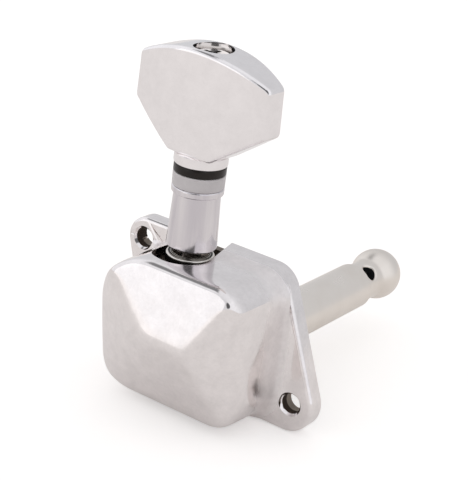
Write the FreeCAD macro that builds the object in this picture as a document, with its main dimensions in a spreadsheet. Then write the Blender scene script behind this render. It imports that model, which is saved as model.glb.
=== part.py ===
import FreeCAD, Part
import math
import os
import Sketcher
from FreeCAD import Placement, Rotation, Vector

# The origin is on the axis of the string post, on the face that lies against the headstock.
# X runs along the headstock, +Y goes through it with the post and +Z points up the key's stem.

doc = FreeCAD.newDocument("tuning_machine")
sheet = doc.addObject("Spreadsheet::Sheet", "sizes")

# Driving dimensions in millimetres and degrees
SIZES = [
    # Worm drive layout
    ("worm_stand", 2.0, "worm axis beyond the surface of the post, across"),
    ("worm_depth", 5.6, "mounting face to worm axis"),
    ("worm_pitch_radius", 1.5, "pitch radius of the worm"),
    ("wheel_teeth", 14, "teeth on the worm wheel"),
    ("tooth_height", 0.42, "teeth and thread beyond their pitch line"),
    ("tooth_depth", 0.55, "teeth and thread inside their pitch line"),
    ("mesh_play", 0.0465, "thinning of thread and teeth each side of the pitch line"),
    ("key_turn", -2.7, "key turned about the stem at rest, degrees"),
    # Cover: flange against the headstock
    ("flange_thickness", 2.2, "thickness of the flange and ears"),
    ("flange_left_top_out", 4.88, "sharp corner of the upper ear beyond the left wall"),
    ("flange_right_top_in", 1.1, "sharp corner at the top inside the right wall"),
    ("flange_right_low_out", 6.7, "sharp corner of the lower ear beyond the right wall"),
    ("flange_left_low_in", 0.95, "sharp corner at the bottom inside the left wall"),
    ("flange_under", 0.6, "bottom edge of the flange below the box"),
    ("ear_radius_upper", 2.7, "corner radius round the upper ear"),
    ("ear_radius_lower", 3.6, "corner radius round the lower ear"),
    ("flange_corner_radius", 3.5, "other two corners of the flange"),
    ("flange_edge_radius", 0.5, "rounding of the flange's front edge"),
    ("ear_hole_radius", 1.25, "screw holes in the ears"),
    ("ear_rim_width", 0.25, "chamfer round the screw holes"),
    ("ear_upper_in", 3.33, "upper screw hole from its sharp corner, across"),
    ("ear_upper_down", 2.6, "upper screw hole from its sharp corner, down"),
    ("ear_lower_in", 4.65, "lower screw hole from its sharp corner, across"),
    ("ear_lower_up", 3.7, "lower screw hole from its sharp corner, up"),
    # Cover: box
    ("top_height", 11.95, "flat top above the post axis"),
    ("box_left", 12.95, "left wall at the mounting face"),
    ("box_left_draft", 0.2, "left wall leans in by this much up to the nose"),
    ("box_right", 7.15, "right wall at the mounting face"),
    ("box_right_draft", 0.3, "right wall leans in by this much"),
    ("box_low_draft", 0.4, "underside leans in by this much"),
    ("box_top_radius", 3.4, "right upper long edge"),
    ("box_soft_radius", 6.8, "left upper long edge, beside the notch"),
    ("box_low_radius", 4.2, "two lower long edges"),
    ("nose_length", 5.03, "ridge of the hipped nose in front of the straight hollow"),
    ("ridge_height", 3.6, "ridge above the post axis"),
    ("ridge_left", 4.3, "left end of the ridge"),
    ("ridge_right", 2.0, "right end of the ridge"),
    ("nose_top_slope", 0.272, "upper facet, depth lost per height"),
    ("nose_low_slope", 0.455, "lower facet, depth lost per height"),
    ("nose_right_slope", 0.741, "right facet, depth lost per width"),
    ("nose_left_slope", 0.403, "left facet, depth lost per width"),
    ("nose_lean", 7.7, "lean of the two side facets, degrees"),
    ("nose_edge_radius", 1.15, "rounding round the facets of the nose"),
    # Cover: hollow
    ("wall", 1.2, "wall at the sides of the box"),
    ("top_wall", 1.45, "wall under the flat top"),
    ("low_wall", 1.15, "wall at the underside"),
    ("foot_room", 0.75, "journal end to the hollow's floor"),
    ("hollow_radius", 3.0, "corners of the hollow"),
    ("hollow_soft_radius", 4.0, "its corner beside the notch"),
    ("hollow_taper", 0.35, "side walls of the hollow lean in by this much"),
    ("nose_wall", 1.43, "wall behind the ridge"),
    ("nose_room_high", 1.8, "hollow's end above the ridge"),
    ("nose_room_low", 0.9, "hollow's end below the ridge"),
    ("hollow_nose_radius", 0.6, "corners of the hollow's end"),
    ("notch_gap", 0.65, "notch radius beyond the ring of the stem bush"),
    ("notch_shift", 1.6, "centre of the notch in front of the stem"),
    ("notch_mouth", 1.9, "half width of the notch at the mounting face"),
    # Base plate
    ("plate_thickness", 1.0, "sheet of the base plate and its tabs"),
    ("rim_width", 1.0, "flange rim left round the base plate"),
    ("plate_gap", 0.1, "base plate to rim"),
    ("tab_half_width", 3.6, "half width of the bearing tabs"),
    ("tab_room", 0.3, "upper tab to the wall of the cover above it"),
    ("tab_end_room", 0.4, "straight hollow beyond the ends of the tabs"),
    ("tab_clear", 0.4, "lower tab below the pitch line of the wheel"),
    ("tab_bend_radius", 0.6, "inside bend of the tabs"),
    # Post bearing and wheel
    ("post_radius", 3.0, "string post"),
    ("post_gap", 0.05, "running clearance on the post"),
    ("post_bush_wall", 0.45, "wall of the post bush"),
    ("post_bush_lip", 0.2, "flange of the post bush beyond its body"),
    ("post_bush_flange", 1.0, "thickness of that flange"),
    ("post_bush_play", 0.125, "post bush to the washer on the wheel"),
    ("wheel_width", 3.2, "worm wheel along the post"),
    ("wheel_flank_angle", 26.4, "flank of a tooth gap, degrees"),
    ("wheel_tooth_edge", 0.2, "chamfer on the wheel's rims"),
    ("end_play", 0.05, "axial clearance of turning pieces"),
    ("wheel_washer_thickness", 0.35, "washer between bush and wheel"),
    ("wheel_washer_reach", 0.52, "that washer beyond the nearest point of the worm"),
    ("seat_radius", 1.9, "round of the wheel's seat on the post"),
    ("seat_cut", 0.45, "depth of the flats of the wheel's seat"),
    ("seat_gap", 0.02, "wheel to its seat"),
    ("wheel_screw_washer_radius", 2.6, "washer under the wheel screw"),
    ("wheel_screw_washer_thickness", 0.35, "its thickness"),
    ("wheel_screw_head_radius", 2.1, "wheel screw head"),
    ("wheel_screw_head_height", 1.3, "its height"),
    ("wheel_screw_radius", 1.1, "wheel screw thread"),
    ("wheel_screw_length", 4.4, "wheel screw under its head"),
    ("screw_gap", 0.02, "screw thread to its hole"),
    # String post beyond the headstock
    ("post_step", 25.65, "end of the straight post from the mounting face"),
    ("post_step_chamfer", 0.35, "chamfer at that end"),
    ("waist_step", 0.38, "waist inside the surface of the post"),
    ("ball_rise", 4.6, "ball centre beyond the string hole"),
    ("ball_radius", 3.42, "ball end of the post"),
    ("ball_blend_radius", 1.2, "blend between waist and ball"),
    ("string_hole_radius", 1.0, "string hole through the waist"),
    ("string_hole_clear", 0.3, "chamfer of the post to the string hole"),
    ("string_hole_turn", 53.0, "string hole turned up from X at rest, degrees"),
    ("string_hole_edge", 0.25, "rounding of the string hole's rims"),
    # Worm and stem
    ("thread_clear", 0.75, "pitch line of the last turn to the lower tab"),
    ("thread_flank_angle", 20.0, "flank of the thread, degrees"),
    ("thread_sink", 0.1, "thread profile sunk into the core"),
    ("thread_end", 0.56, "shoulder above the pitch line of the last turn"),
    ("journal_radius", 0.85, "journal in the lower tab"),
    ("journal_gap", 0.04, "journal to its hole"),
    ("journal_stand", 0.2, "journal below the lower tab"),
    ("thrust_washer_thickness", 0.35, "washer between shoulder and upper tab"),
    ("thrust_washer_width", 0.95, "ring width of that washer"),
    ("stem_radius", 1.5, "stem above the shoulder"),
    ("stem_gap", 0.05, "stem to its bush"),
    ("stem_cut", 0.4, "depth of the stem's flats"),
    ("stem_flat_rise", 0.54, "flats start above the foot of the key's collar"),
    # Stem bush and barrel
    ("bush_wall", 0.75, "wall of the bush pressed in the upper tab"),
    ("bush_flange_width", 0.6, "ring of the bush in the notch beyond its body"),
    ("bush_flange_height", 1.45, "height of that ring"),
    ("bush_flange_edge", 0.3, "rounding of the ring"),
    ("bush_neck_step", 0.05, "neck that carries the barrel beyond the body"),
    ("barrel_foot", 0.89, "ring of the bush to the barrel"),
    ("barrel_seat", 1.36, "neck inside the barrel"),
    ("barrel_wall", 0.66, "wall of the barrel at its lower edge"),
    ("barrel_taper", 0.27, "radius lost up to the lip"),
    ("barrel_length", 6.59, "barrel below its lip"),
    ("barrel_room", 0.25, "bore of the barrel round the stem"),
    ("lip_height", 0.84, "lip of the barrel"),
    ("lip_width", 0.05, "lip beyond the barrel's lower edge"),
    ("lip_edge", 0.2, "rounding of the lip and the lower edge"),
    ("spacer_height", 1.64, "pale spacer ring"),
    ("spacer_low_radius", 3.04, "spacer ring at the lip"),
    ("spacer_top_radius", 3.07, "spacer ring at its top"),
    ("spacer_edge", 0.12, "edges of the two rings"),
    ("friction_height", 1.0, "black ring under the key"),
    ("friction_radius", 3.06, "its radius"),
    # Key
    ("collar_height", 1.19, "collar below the key"),
    ("collar_radius", 3.14, "collar of the key"),
    ("collar_sink", 0.65, "collar runs up into the key"),
    ("collar_edge", 0.2, "rounding of the collar's lower edge"),
    ("key_low_half", 3.0, "half width of the lower edge"),
    ("key_flare_height", 4.45, "lower edge to the widest corners"),
    ("key_wide_half", 9.5, "half width there"),
    ("key_side_height", 5.45, "widest corners to the upper corners"),
    ("key_shoulder_half", 9.25, "half width there"),
    ("key_crown_height", 2.4, "upper corners to the crown"),
    ("key_half_thickness", 2.9, "half thickness at mid width"),
    ("key_face_radius", 29.0, "bulge radius of the two faces"),
    ("key_corner_radius", 0.9, "corners of the key's outline"),
    ("key_edge_radius", 0.5, "rounding round both faces"),
    ("recess_wall", 0.55, "wall between the screw's recess and the faces"),
    ("recess_depth", 1.8, "recess for the key screw below the crown"),
    ("recess_play", 0.25, "recess round the screw head"),
    ("key_screw_head_height", 1.15, "key screw head"),
    ("key_screw_head_edge", 0.45, "rounding of the head"),
    ("key_screw_radius", 0.85, "key screw thread"),
    ("key_screw_hold", 2.8, "screw thread inside the stem"),
    ("key_screw_play", 0.1, "hole in the key round the screw"),
    ("stem_cover", 1.95, "end of the stem below the recess"),
    ("cross_half_length", 1.25, "cross recess of the screws, half length"),
    ("cross_half_width", 0.22, "cross recess of the screws, half width"),
    ("cross_depth", 0.55, "cross recess of the screws, depth"),
]


class Size:
    """A number together with the sheet expression that it stands for."""

    def __init__(self, value, text):
        self.value = value
        self.text = text

    def join(self, sign, other, value):
        return Size(value, "(%s %s %s)" % (self.text, sign, text_of(other)))

    def __add__(self, other):
        return self.join("+", other, self.value + number_of(other))

    def __sub__(self, other):
        return self.join("-", other, self.value - number_of(other))

    def __mul__(self, other):
        return self.join("*", other, self.value * number_of(other))

    def __truediv__(self, other):
        return self.join("/", other, self.value / number_of(other))

    def __neg__(self):
        return Size(-self.value, "(-1 * %s)" % self.text)

    @staticmethod
    def largest(*sizes):
        return Size(max(size.value for size in sizes),
                    "max(%s)" % "; ".join(size.text for size in sizes))


def number_of(size):
    return size.value if isinstance(size, Size) else size


def text_of(size):
    return size.text if isinstance(size, Size) else repr(size)


def tangent(angle):
    return Size(math.tan(math.radians(angle.value)), "tan(%s * 1 deg)" % angle.text)


def cosine(angle):
    return Size(math.cos(math.radians(angle.value)), "cos(%s * 1 deg)" % angle.text)


s = {}
for row, (alias, value, note) in enumerate(SIZES, start=1):
    sheet.set("A%d" % row, alias)
    sheet.set("B%d" % row, str(value))
    sheet.set("C%d" % row, note)
    sheet.setAlias("B%d" % row, alias)
    s[alias] = Size(value, "sizes." + alias)
doc.recompute()

# Worm and wheel: the thread's pitch is the wheel's, and two turns lie on each side of mid wheel.
pi = Size(math.pi, "pi")
s["worm_offset"] = s["post_radius"] + s["worm_stand"]
pitch_radius = s["worm_offset"] - s["worm_pitch_radius"]
s["wheel_outer_radius"] = pitch_radius + s["tooth_height"]
s["wheel_root_radius"] = pitch_radius - s["tooth_depth"]
s["worm_outer_radius"] = s["worm_pitch_radius"] + s["tooth_height"]
s["worm_root_radius"] = s["worm_pitch_radius"] - s["tooth_depth"]
s["thread_pitch"] = pitch_radius * pi * 2 / s["wheel_teeth"]
thread_height = s["thread_pitch"] * 4
lead = s["thread_pitch"] / (s["worm_pitch_radius"] * pi * 2)
s["wheel_helix_angle"] = s["wheel_width"] / 2 * lead / pitch_radius * 180 / pi
s["wheel_washer_radius"] = s["worm_offset"] - s["worm_outer_radius"] + s["wheel_washer_reach"]
s["seat_flat"] = s["seat_radius"] - s["seat_cut"]

# Radii round the post and the stem
bore = s["post_radius"] + s["post_gap"]
stem_bore = s["stem_radius"] + s["stem_gap"]
s["post_bush_radius"] = bore + s["post_bush_wall"]
s["post_bush_flange_radius"] = s["post_bush_radius"] + s["post_bush_lip"]
s["waist_radius"] = s["post_radius"] - s["waist_step"]
s["stem_flat"] = s["stem_radius"] - s["stem_cut"]
s["thrust_washer_radius"] = stem_bore + s["thrust_washer_width"]
s["bush_radius"] = stem_bore + s["bush_wall"]
s["bush_neck_radius"] = s["bush_radius"] + s["bush_neck_step"]
s["bush_flange_radius"] = s["bush_radius"] + s["bush_flange_width"]
s["barrel_bore_radius"] = s["stem_radius"] + s["barrel_room"]
s["barrel_low_radius"] = s["bush_neck_radius"] + s["barrel_wall"]
s["barrel_high_radius"] = s["barrel_low_radius"] - s["barrel_taper"]
s["lip_radius"] = s["barrel_low_radius"] + s["lip_width"]
s["recess_radius"] = s["key_half_thickness"] - s["recess_wall"]
s["key_screw_head_radius"] = s["recess_radius"] - s["recess_play"]

# Heights below the post axis, down to the underside of the cover
s["tab_low"] = Size.largest(
    pitch_radius + s["tab_clear"],
    thread_height / 2 + s["thread_clear"],
    s["post_bush_flange_radius"] + s["plate_gap"] * 2)
s["journal_end"] = s["tab_low"] + s["plate_thickness"] + s["journal_stand"]
s["box_low"] = s["journal_end"] + s["foot_room"] + s["low_wall"]
s["flange_low"] = s["box_low"] + s["flange_under"]

# Heights above the post axis, from the upper tab to the crown of the key
s["worm_shoulder_low"] = thread_height / 2 + s["thread_end"]
s["tab_high"] = s["top_height"] - s["top_wall"] - s["tab_room"]
s["bush_flange_top"] = s["tab_high"] + s["bush_flange_height"]
s["barrel_low"] = s["bush_flange_top"] + s["barrel_foot"]
s["bush_neck_top"] = s["barrel_low"] + s["barrel_seat"]
s["barrel_high"] = s["barrel_low"] + s["barrel_length"]
s["lip_top"] = s["barrel_high"] + s["lip_height"]
s["spacer_top"] = s["lip_top"] + s["spacer_height"]
s["collar_low"] = s["spacer_top"] + s["end_play"] + s["friction_height"]
s["stem_flat_start"] = s["collar_low"] + s["stem_flat_rise"]
s["key_low"] = s["collar_low"] + s["collar_height"]
s["collar_top"] = s["key_low"] + s["collar_sink"]
s["key_wide"] = s["key_low"] + s["key_flare_height"]
s["key_shoulder"] = s["key_wide"] + s["key_side_height"]
s["key_top"] = s["key_shoulder"] + s["key_crown_height"]
s["recess_floor"] = s["key_top"] - s["recess_depth"]
s["key_screw_head_top"] = s["recess_floor"] + s["key_screw_head_height"]
s["stem_top"] = s["recess_floor"] - s["stem_cover"]
s["key_screw_end"] = s["stem_top"] - s["key_screw_hold"]

# Depths in front of the mounting face, and places along the post behind it
s["hollow_depth"] = s["worm_depth"] + s["tab_half_width"] + s["tab_end_room"]
s["ridge_depth"] = s["hollow_depth"] + s["nose_length"]
s["nose_plane"] = s["ridge_depth"] + s["wall"]
s["notch_depth"] = s["worm_depth"] + s["notch_shift"]
s["notch_radius"] = s["bush_flange_radius"] + s["notch_gap"]
wheel_back = s["worm_depth"] - s["wheel_width"] / 2
wheel_front = s["worm_depth"] + s["wheel_width"] / 2
washer_front = wheel_back - s["end_play"] / 2
washer_back = washer_front - s["wheel_washer_thickness"]
s["string_hole_place"] = (s["post_step"] + s["post_step_chamfer"] + s["string_hole_clear"]
                          + s["string_hole_radius"])
s["ball_centre"] = s["string_hole_place"] + s["ball_rise"]

# Sharp corners of the flange, and the screw holes measured from two of them
s["flange_left_top"] = s["box_left"] + s["flange_left_top_out"]
s["flange_right_top"] = s["box_right"] - s["flange_right_top_in"]
s["flange_right_low"] = s["box_right"] + s["flange_right_low_out"]
s["flange_left_low"] = s["box_left"] - s["flange_left_low_in"]
upper_ear = (s["ear_upper_in"] - s["flange_left_top"], s["top_height"] - s["ear_upper_down"])
lower_ear = (s["flange_right_low"] - s["ear_lower_in"], s["ear_lower_up"] - s["flange_low"])


# Sketch helpers

def new_body(label, across=0, depth=0, turn=0):
    """A sub-part whose own frame may sit on the stem axis."""
    body = doc.addObject("PartDesign::Body", label)
    body.Label = label
    body.Placement = Placement(Vector(), Rotation(Vector(0, 0, 1), number_of(turn)))
    for axis, size in (("x", across), ("y", depth)):
        if isinstance(size, Size):
            body.setExpression("Placement.Base." + axis, size.text)
    if isinstance(turn, Size):
        body.setExpression("Placement.Rotation.Angle", turn.text)
    return body


def new_sketch(body, name, role, offset=0, axis=Vector(0, 0, 1), turn=0, up=0):
    """A sketch on an origin plane, moved along its normal and turned."""
    plane = [f for f in body.Origin.OriginFeatures if f.Role == role][0]
    sketch = body.newObject("Sketcher::SketchObject", name)
    sketch.AttachmentSupport = [(plane, "")]
    sketch.MapMode = "FlatFace"
    sketch.AttachmentOffset = Placement(Vector(), Rotation(axis, number_of(turn)))
    for path, size in (("Base.z", offset), ("Base.y", up), ("Rotation.Angle", turn)):
        if isinstance(size, Size):
            sketch.setExpression("AttachmentOffset." + path, size.text)
    return sketch


def constrain(sketch, *parts):
    """Adds a constraint whose last entry is a size and binds it to the sheet."""
    size = parts[-1]
    index = sketch.addConstraint(Sketcher.Constraint(*parts[:-1], size.value))
    sketch.setExpression("Constraints[%d]" % index, size.text)


def pin(sketch, geometry, end, x, y):
    """Places a point by its two coordinates."""
    for kind, size, axis in (("DistanceX", x, -2), ("DistanceY", y, -1)):
        if number_of(size) == 0:
            sketch.addConstraint(Sketcher.Constraint("PointOnObject", geometry, end, axis))
        elif size.value > 0:
            constrain(sketch, kind, -1, 1, geometry, end, size)
        else:
            constrain(sketch, kind, geometry, end, -1, 1, -size)


def line(sketch, start, end, guide=False):
    return sketch.addGeometry(Part.LineSegment(start, end), guide)


def sharp_outline(sketch, corners):
    """A closed polygon through the given corner points."""
    points = [Vector(number_of(x), number_of(y), 0) for x, y in corners]
    count = len(points)
    edges = [line(sketch, points[i], points[(i + 1) % count]) for i in range(count)]
    for i, (x, y) in enumerate(corners):
        sketch.addConstraint(Sketcher.Constraint("Coincident", edges[i - 1], 2, edges[i], 1))
        pin(sketch, edges[i], 1, x, y)
    return edges


def round_outline(sketch, corners, inset=0):
    """A polygon given counter-clockwise with rounded corners, moved inwards by the inset."""
    points = [Vector(number_of(x), number_of(y), 0) for x, y, radius in corners]
    count = len(points)
    along = [(points[(i + 1) % count] - points[i]).normalize() for i in range(count)]
    inward = [Vector(-d.y, d.x, 0) for d in along]
    sharp = []
    for i in range(count):
        # The moved edges before and after this corner meet here.
        lean = inward[i - 1] + inward[i]
        sharp.append(points[i] + lean * (number_of(inset) / (1 + inward[i - 1].dot(inward[i]))))
    guides = [line(sketch, points[i], points[(i + 1) % count], True) for i in range(count)]
    for i, (x, y, radius) in enumerate(corners):
        sketch.addConstraint(Sketcher.Constraint("Coincident", guides[i - 1], 2, guides[i], 1))
        pin(sketch, guides[i], 1, x, y)
    reach = []
    for i, (x, y, radius) in enumerate(corners):
        turning = along[i - 1].getAngle(along[i])
        reach.append(number_of(radius) * math.tan(turning / 2))
    edges = []
    for i in range(count):
        j = (i + 1) % count
        start = sharp[i] + along[i] * reach[i]
        edges.append(line(sketch, start, sharp[j] - along[i] * reach[j]))
        if number_of(inset):
            sketch.addConstraint(Sketcher.Constraint("Parallel", edges[i], guides[i]))
            constrain(sketch, "Distance", edges[i], 1, guides[i], inset)
        else:
            sketch.addConstraint(Sketcher.Constraint("PointOnObject", edges[i], 1, guides[i]))
            sketch.addConstraint(Sketcher.Constraint("PointOnObject", edges[i], 2, guides[i]))
    for i, (x, y, radius) in enumerate(corners):
        centre = sharp[i] + along[i] * reach[i] + inward[i] * radius.value
        first = math.atan2(-inward[i - 1].y, -inward[i - 1].x)
        last = math.atan2(-inward[i].y, -inward[i].x)
        circle = Part.Circle(centre, Vector(0, 0, 1), radius.value)
        arc = sketch.addGeometry(Part.ArcOfCircle(circle, first, last), False)
        sketch.addConstraint(Sketcher.Constraint("Tangent", edges[i - 1], 2, arc, 1))
        sketch.addConstraint(Sketcher.Constraint("Tangent", arc, 2, edges[i], 1))
        constrain(sketch, "Radius", arc, radius)


def circle(sketch, x, y, radius):
    centre = Vector(number_of(x), number_of(y), 0)
    index = sketch.addGeometry(Part.Circle(centre, Vector(0, 0, 1), radius.value), False)
    if number_of(x) == 0 and number_of(y) == 0:
        sketch.addConstraint(Sketcher.Constraint("Coincident", index, 3, -1, 1))
    else:
        pin(sketch, index, 3, x, y)
    constrain(sketch, "Radius", index, radius)


def three_point_arc(sketch, start, middle, end):
    """An arc whose crown is placed; its ends are tied to the neighbouring lines."""
    points = [Vector(number_of(x), number_of(y), 0) for x, y in (start, middle, end)]
    shape = Part.Arc(*points)
    arc = sketch.addGeometry(shape, False)
    crown = sketch.addGeometry(Part.Point(points[1]), True)
    pin(sketch, crown, 1, *middle)
    sketch.addConstraint(Sketcher.Constraint("PointOnObject", crown, 1, arc))
    return arc


# Feature helpers

def settle(body, feature, grows, base=None):
    """Recomputes and makes sure that the feature added or removed material."""
    base = base or feature.BaseFeature
    before = base.Shape.Volume if base else 0
    doc.recompute()
    after = feature.Shape.Volume
    if (after > before) != grows or after == before:
        raise ValueError("%s changes nothing in %s" % (feature.Name, body.Label))
    return feature


def pad(body, sketch, length, both=False, back=False):
    feature = body.newObject("PartDesign::Pad", sketch.Name + "_pad")
    feature.Profile = sketch
    feature.setExpression("Length", length.text)
    feature.Midplane = both
    feature.Reversed = back
    return settle(body, feature, True)


def pocket(body, sketch, length=None, both=False, back=False):
    """Cuts against the sketch normal, right through when no length is given."""
    feature = body.newObject("PartDesign::Pocket", sketch.Name + "_cut")
    feature.Profile = sketch
    if length is None:
        feature.Type = "ThroughAll"
    else:
        feature.setExpression("Length", length.text)
    feature.Midplane = both
    feature.Reversed = back
    return settle(body, feature, False)


def loft(body, kind, first, last):
    feature = body.newObject("PartDesign::" + kind, last.Name + "_loft")
    feature.Profile = first
    feature.Sections = [last]
    feature.Ruled = True
    return settle(body, feature, kind == "AdditiveLoft")


def turned(body, name, role, corners, groove=False):
    """A closed profile revolved about the sketch's vertical axis."""
    sketch = new_sketch(body, name, role)
    sharp_outline(sketch, corners)
    kind = "Groove" if groove else "Revolution"
    feature = body.newObject("PartDesign::" + kind, name + "_turn")
    feature.Profile = sketch
    feature.ReferenceAxis = (sketch, ["V_Axis"])
    return settle(body, feature, not groove)


def edge_work(body, kind, name, size, chosen):
    """A fillet or chamfer on the edges of the last feature that are chosen."""
    tip = body.Tip
    names = ["Edge%d" % i for i, e in enumerate(tip.Shape.Edges, start=1) if chosen(e)]
    feature = body.newObject("PartDesign::" + kind, name)
    feature.Base = (tip, names)
    feature.setExpression("Radius" if kind == "Fillet" else "Size", size.text)
    doc.recompute()
    if not names or not feature.Shape.isValid():
        raise ValueError("%s failed on %d edges" % (name, len(names)))
    return feature


def near(a, b):
    return abs(a - number_of(b)) < s["screw_gap"].value / 2


def round_of(edge):
    """The radius of a circular edge, zero for any other edge."""
    try:
        return edge.Curve.Radius if edge.Curve.TypeId == "Part::GeomCircle" else 0
    except TypeError:
        return 0


def ring_edge(radius, place, axis=2):
    """Picks the circular edges of one radius at one place along an axis."""
    def chosen(edge):
        return near(round_of(edge), radius) and near(edge.BoundBox.Center[axis], place)
    return chosen


def cross_recess(body, name, role, top, back=False):
    """The cross slot of a screw head, cut in from its crown."""
    far = s["cross_half_length"]
    thin = s["cross_half_width"]
    sketch = new_sketch(body, name, role, offset=top)
    sharp_outline(sketch, [
        (thin, thin), (thin, far), (-thin, far), (-thin, thin),
        (-far, thin), (-far, -thin), (-thin, -thin), (-thin, -far),
        (thin, -far), (thin, -thin), (far, -thin), (far, thin)])
    pocket(body, sketch, s["cross_depth"], back=back)


def double_flat(sketch, radius, flat):
    """A round section with two flats facing up and down in the sketch."""
    reach = math.sqrt(radius.value ** 2 - flat.value ** 2)
    span = math.asin(flat.value / radius.value)
    right = Part.Circle(Vector(), Vector(0, 0, 1), radius.value)
    arcs = [sketch.addGeometry(Part.ArcOfCircle(right, turn - span, turn + span), False)
            for turn in (0, math.pi)]
    top = line(sketch, Vector(reach, flat.value, 0), Vector(-reach, flat.value, 0))
    low = line(sketch, Vector(-reach, -flat.value, 0), Vector(reach, -flat.value, 0))
    for first, second in ((arcs[0], top), (top, arcs[1]), (arcs[1], low), (low, arcs[0])):
        sketch.addConstraint(Sketcher.Constraint("Coincident", first, 2, second, 1))
    for arc in arcs:
        sketch.addConstraint(Sketcher.Constraint("Coincident", arc, 3, -1, 1))
        constrain(sketch, "Radius", arc, radius)
    for edge, size, ends in ((top, flat, (-1, 1, top, 1)), (low, flat, (low, 1, -1, 1))):
        sketch.addConstraint(Sketcher.Constraint("Horizontal", edge))
        constrain(sketch, "DistanceY", *ends, size)


stem_x = -s["worm_offset"]
stem_y = -s["worm_depth"]

# Cover: flange, hipped box, hollow, notch and ear holes in one casting
cover = new_body("cover")
flange = [
    (-s["flange_left_top"], s["top_height"], s["ear_radius_upper"]),
    (-s["flange_left_low"], -s["flange_low"], s["flange_corner_radius"]),
    (s["flange_right_low"], -s["flange_low"], s["ear_radius_lower"]),
    (s["flange_right_top"], s["top_height"], s["flange_corner_radius"])]
flange_sketch = new_sketch(cover, "flange_outline", "XZ_Plane")
round_outline(flange_sketch, flange)
pad(cover, flange_sketch, s["flange_thickness"])
edge_work(cover, "Fillet", "flange_edge", s["flange_edge_radius"],
          lambda e: near(e.BoundBox.YMin, -s["flange_thickness"])
          and near(e.BoundBox.YMax, -s["flange_thickness"]))

box_back = new_sketch(cover, "box_back", "XZ_Plane")
round_outline(box_back, [
    (-s["box_left"], -s["box_low"], s["box_low_radius"]),
    (s["box_right"], -s["box_low"], s["box_low_radius"]),
    (s["box_right"], s["top_height"], s["box_top_radius"]),
    (-s["box_left"], s["top_height"], s["box_soft_radius"])])
box_front = new_sketch(cover, "box_front", "XZ_Plane", offset=s["nose_plane"])
round_outline(box_front, [
    (s["box_left_draft"] - s["box_left"], s["box_low_draft"] - s["box_low"], s["box_low_radius"]),
    (s["box_right"] - s["box_right_draft"], s["box_low_draft"] - s["box_low"], s["box_low_radius"]),
    (s["box_right"] - s["box_right_draft"], s["top_height"], s["box_top_radius"]),
    (s["box_left_draft"] - s["box_left"], s["top_height"], s["box_soft_radius"])])
loft(cover, "AdditiveLoft", box_back, box_front)

# The upper and lower facets meet in the ridge, seen from the side.
beyond = s["nose_plane"] + s["wall"]
facet_high = s["top_height"] + s["wall"]
facet_low = s["box_low"] + s["wall"]
profile = new_sketch(cover, "nose_profile", "YZ_Plane")
sharp_outline(profile, [
    (-s["ridge_depth"], s["ridge_height"]),
    (-beyond, s["ridge_height"]),
    (-beyond, -facet_low),
    ((s["ridge_height"] + facet_low) * s["nose_low_slope"] - s["ridge_depth"], -facet_low)])
pocket(cover, profile, both=True)
profile_top = new_sketch(cover, "nose_profile_top", "YZ_Plane")
sharp_outline(profile_top, [
    (-s["ridge_depth"], s["ridge_height"]),
    ((facet_high - s["ridge_height"]) * s["nose_top_slope"] - s["ridge_depth"], facet_high),
    (-beyond, facet_high),
    (-beyond, s["ridge_height"])])
pocket(cover, profile_top, both=True)

# The side facets are cut along a direction that leans with the nose.
lean = cosine(s["nose_lean"])
for side, end, wall_x, slope in (
        ("right", s["ridge_right"], s["box_right"], s["nose_right_slope"]),
        ("left", -s["ridge_left"], -s["box_left"], s["nose_left_slope"])):
    plan = new_sketch(cover, "nose_" + side, "XY_Plane", offset=s["ridge_height"],
                      up=-s["ridge_depth"], axis=Vector(1, 0, 0), turn=s["nose_lean"])
    past = wall_x * 2
    rise = (past - end) * slope * lean
    if side == "left":
        rise = -rise
    sharp_outline(plan, [(end, 0), (past, rise), (past, -s["wall"] * 2), (end, -s["wall"] * 2)])
    pocket(cover, plan, both=True)
edge_work(cover, "Fillet", "nose_edges", s["nose_edge_radius"],
          lambda e: e.BoundBox.YMax < -s["ridge_depth"].value / 2)

# The base plate lies in a recess of the flange, and the hollow opens into that recess.
recess = new_sketch(cover, "plate_recess", "XZ_Plane")
round_outline(recess, flange, inset=s["rim_width"])
pocket(cover, recess, s["plate_thickness"], back=True)

hollow_right = s["box_right"] - s["wall"]
hollow_left = s["box_left"] - s["wall"]
hollow_high = s["top_height"] - s["top_wall"]
hollow_low = s["box_low"] - s["low_wall"]
hollow_back = new_sketch(cover, "hollow_back", "XZ_Plane")
round_outline(hollow_back, [
    (-hollow_left, -hollow_low, s["hollow_radius"]),
    (hollow_right, -hollow_low, s["hollow_radius"]),
    (hollow_right, hollow_high, s["hollow_radius"]),
    (-hollow_left, hollow_high, s["hollow_soft_radius"])])
lean_in = s["hollow_taper"]
hollow_front = new_sketch(cover, "hollow_front", "XZ_Plane", offset=s["hollow_depth"])
middle = [
    (lean_in - hollow_left, lean_in - hollow_low, s["hollow_radius"]),
    (hollow_right - lean_in, lean_in - hollow_low, s["hollow_radius"]),
    (hollow_right - lean_in, hollow_high, s["hollow_radius"]),
    (lean_in - hollow_left, hollow_high, s["hollow_soft_radius"])]
round_outline(hollow_front, middle)
loft(cover, "SubtractiveLoft", hollow_back, hollow_front)
nose_back = new_sketch(cover, "hollow_nose_back", "XZ_Plane", offset=s["hollow_depth"])
round_outline(nose_back, middle)
nose_front = new_sketch(cover, "hollow_nose_front", "XZ_Plane", offset=s["ridge_depth"] - s["nose_wall"])
nose_floor = s["ridge_height"] - s["nose_room_low"]
nose_roof = s["ridge_height"] + s["nose_room_high"]
round_outline(nose_front, [
    (-s["ridge_left"], nose_floor, s["hollow_nose_radius"]),
    (s["ridge_right"], nose_floor, s["hollow_nose_radius"]),
    (s["ridge_right"], nose_roof, s["hollow_nose_radius"]),
    (-s["ridge_left"], nose_roof, s["hollow_nose_radius"])])
loft(cover, "SubtractiveLoft", nose_back, nose_front)

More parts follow.
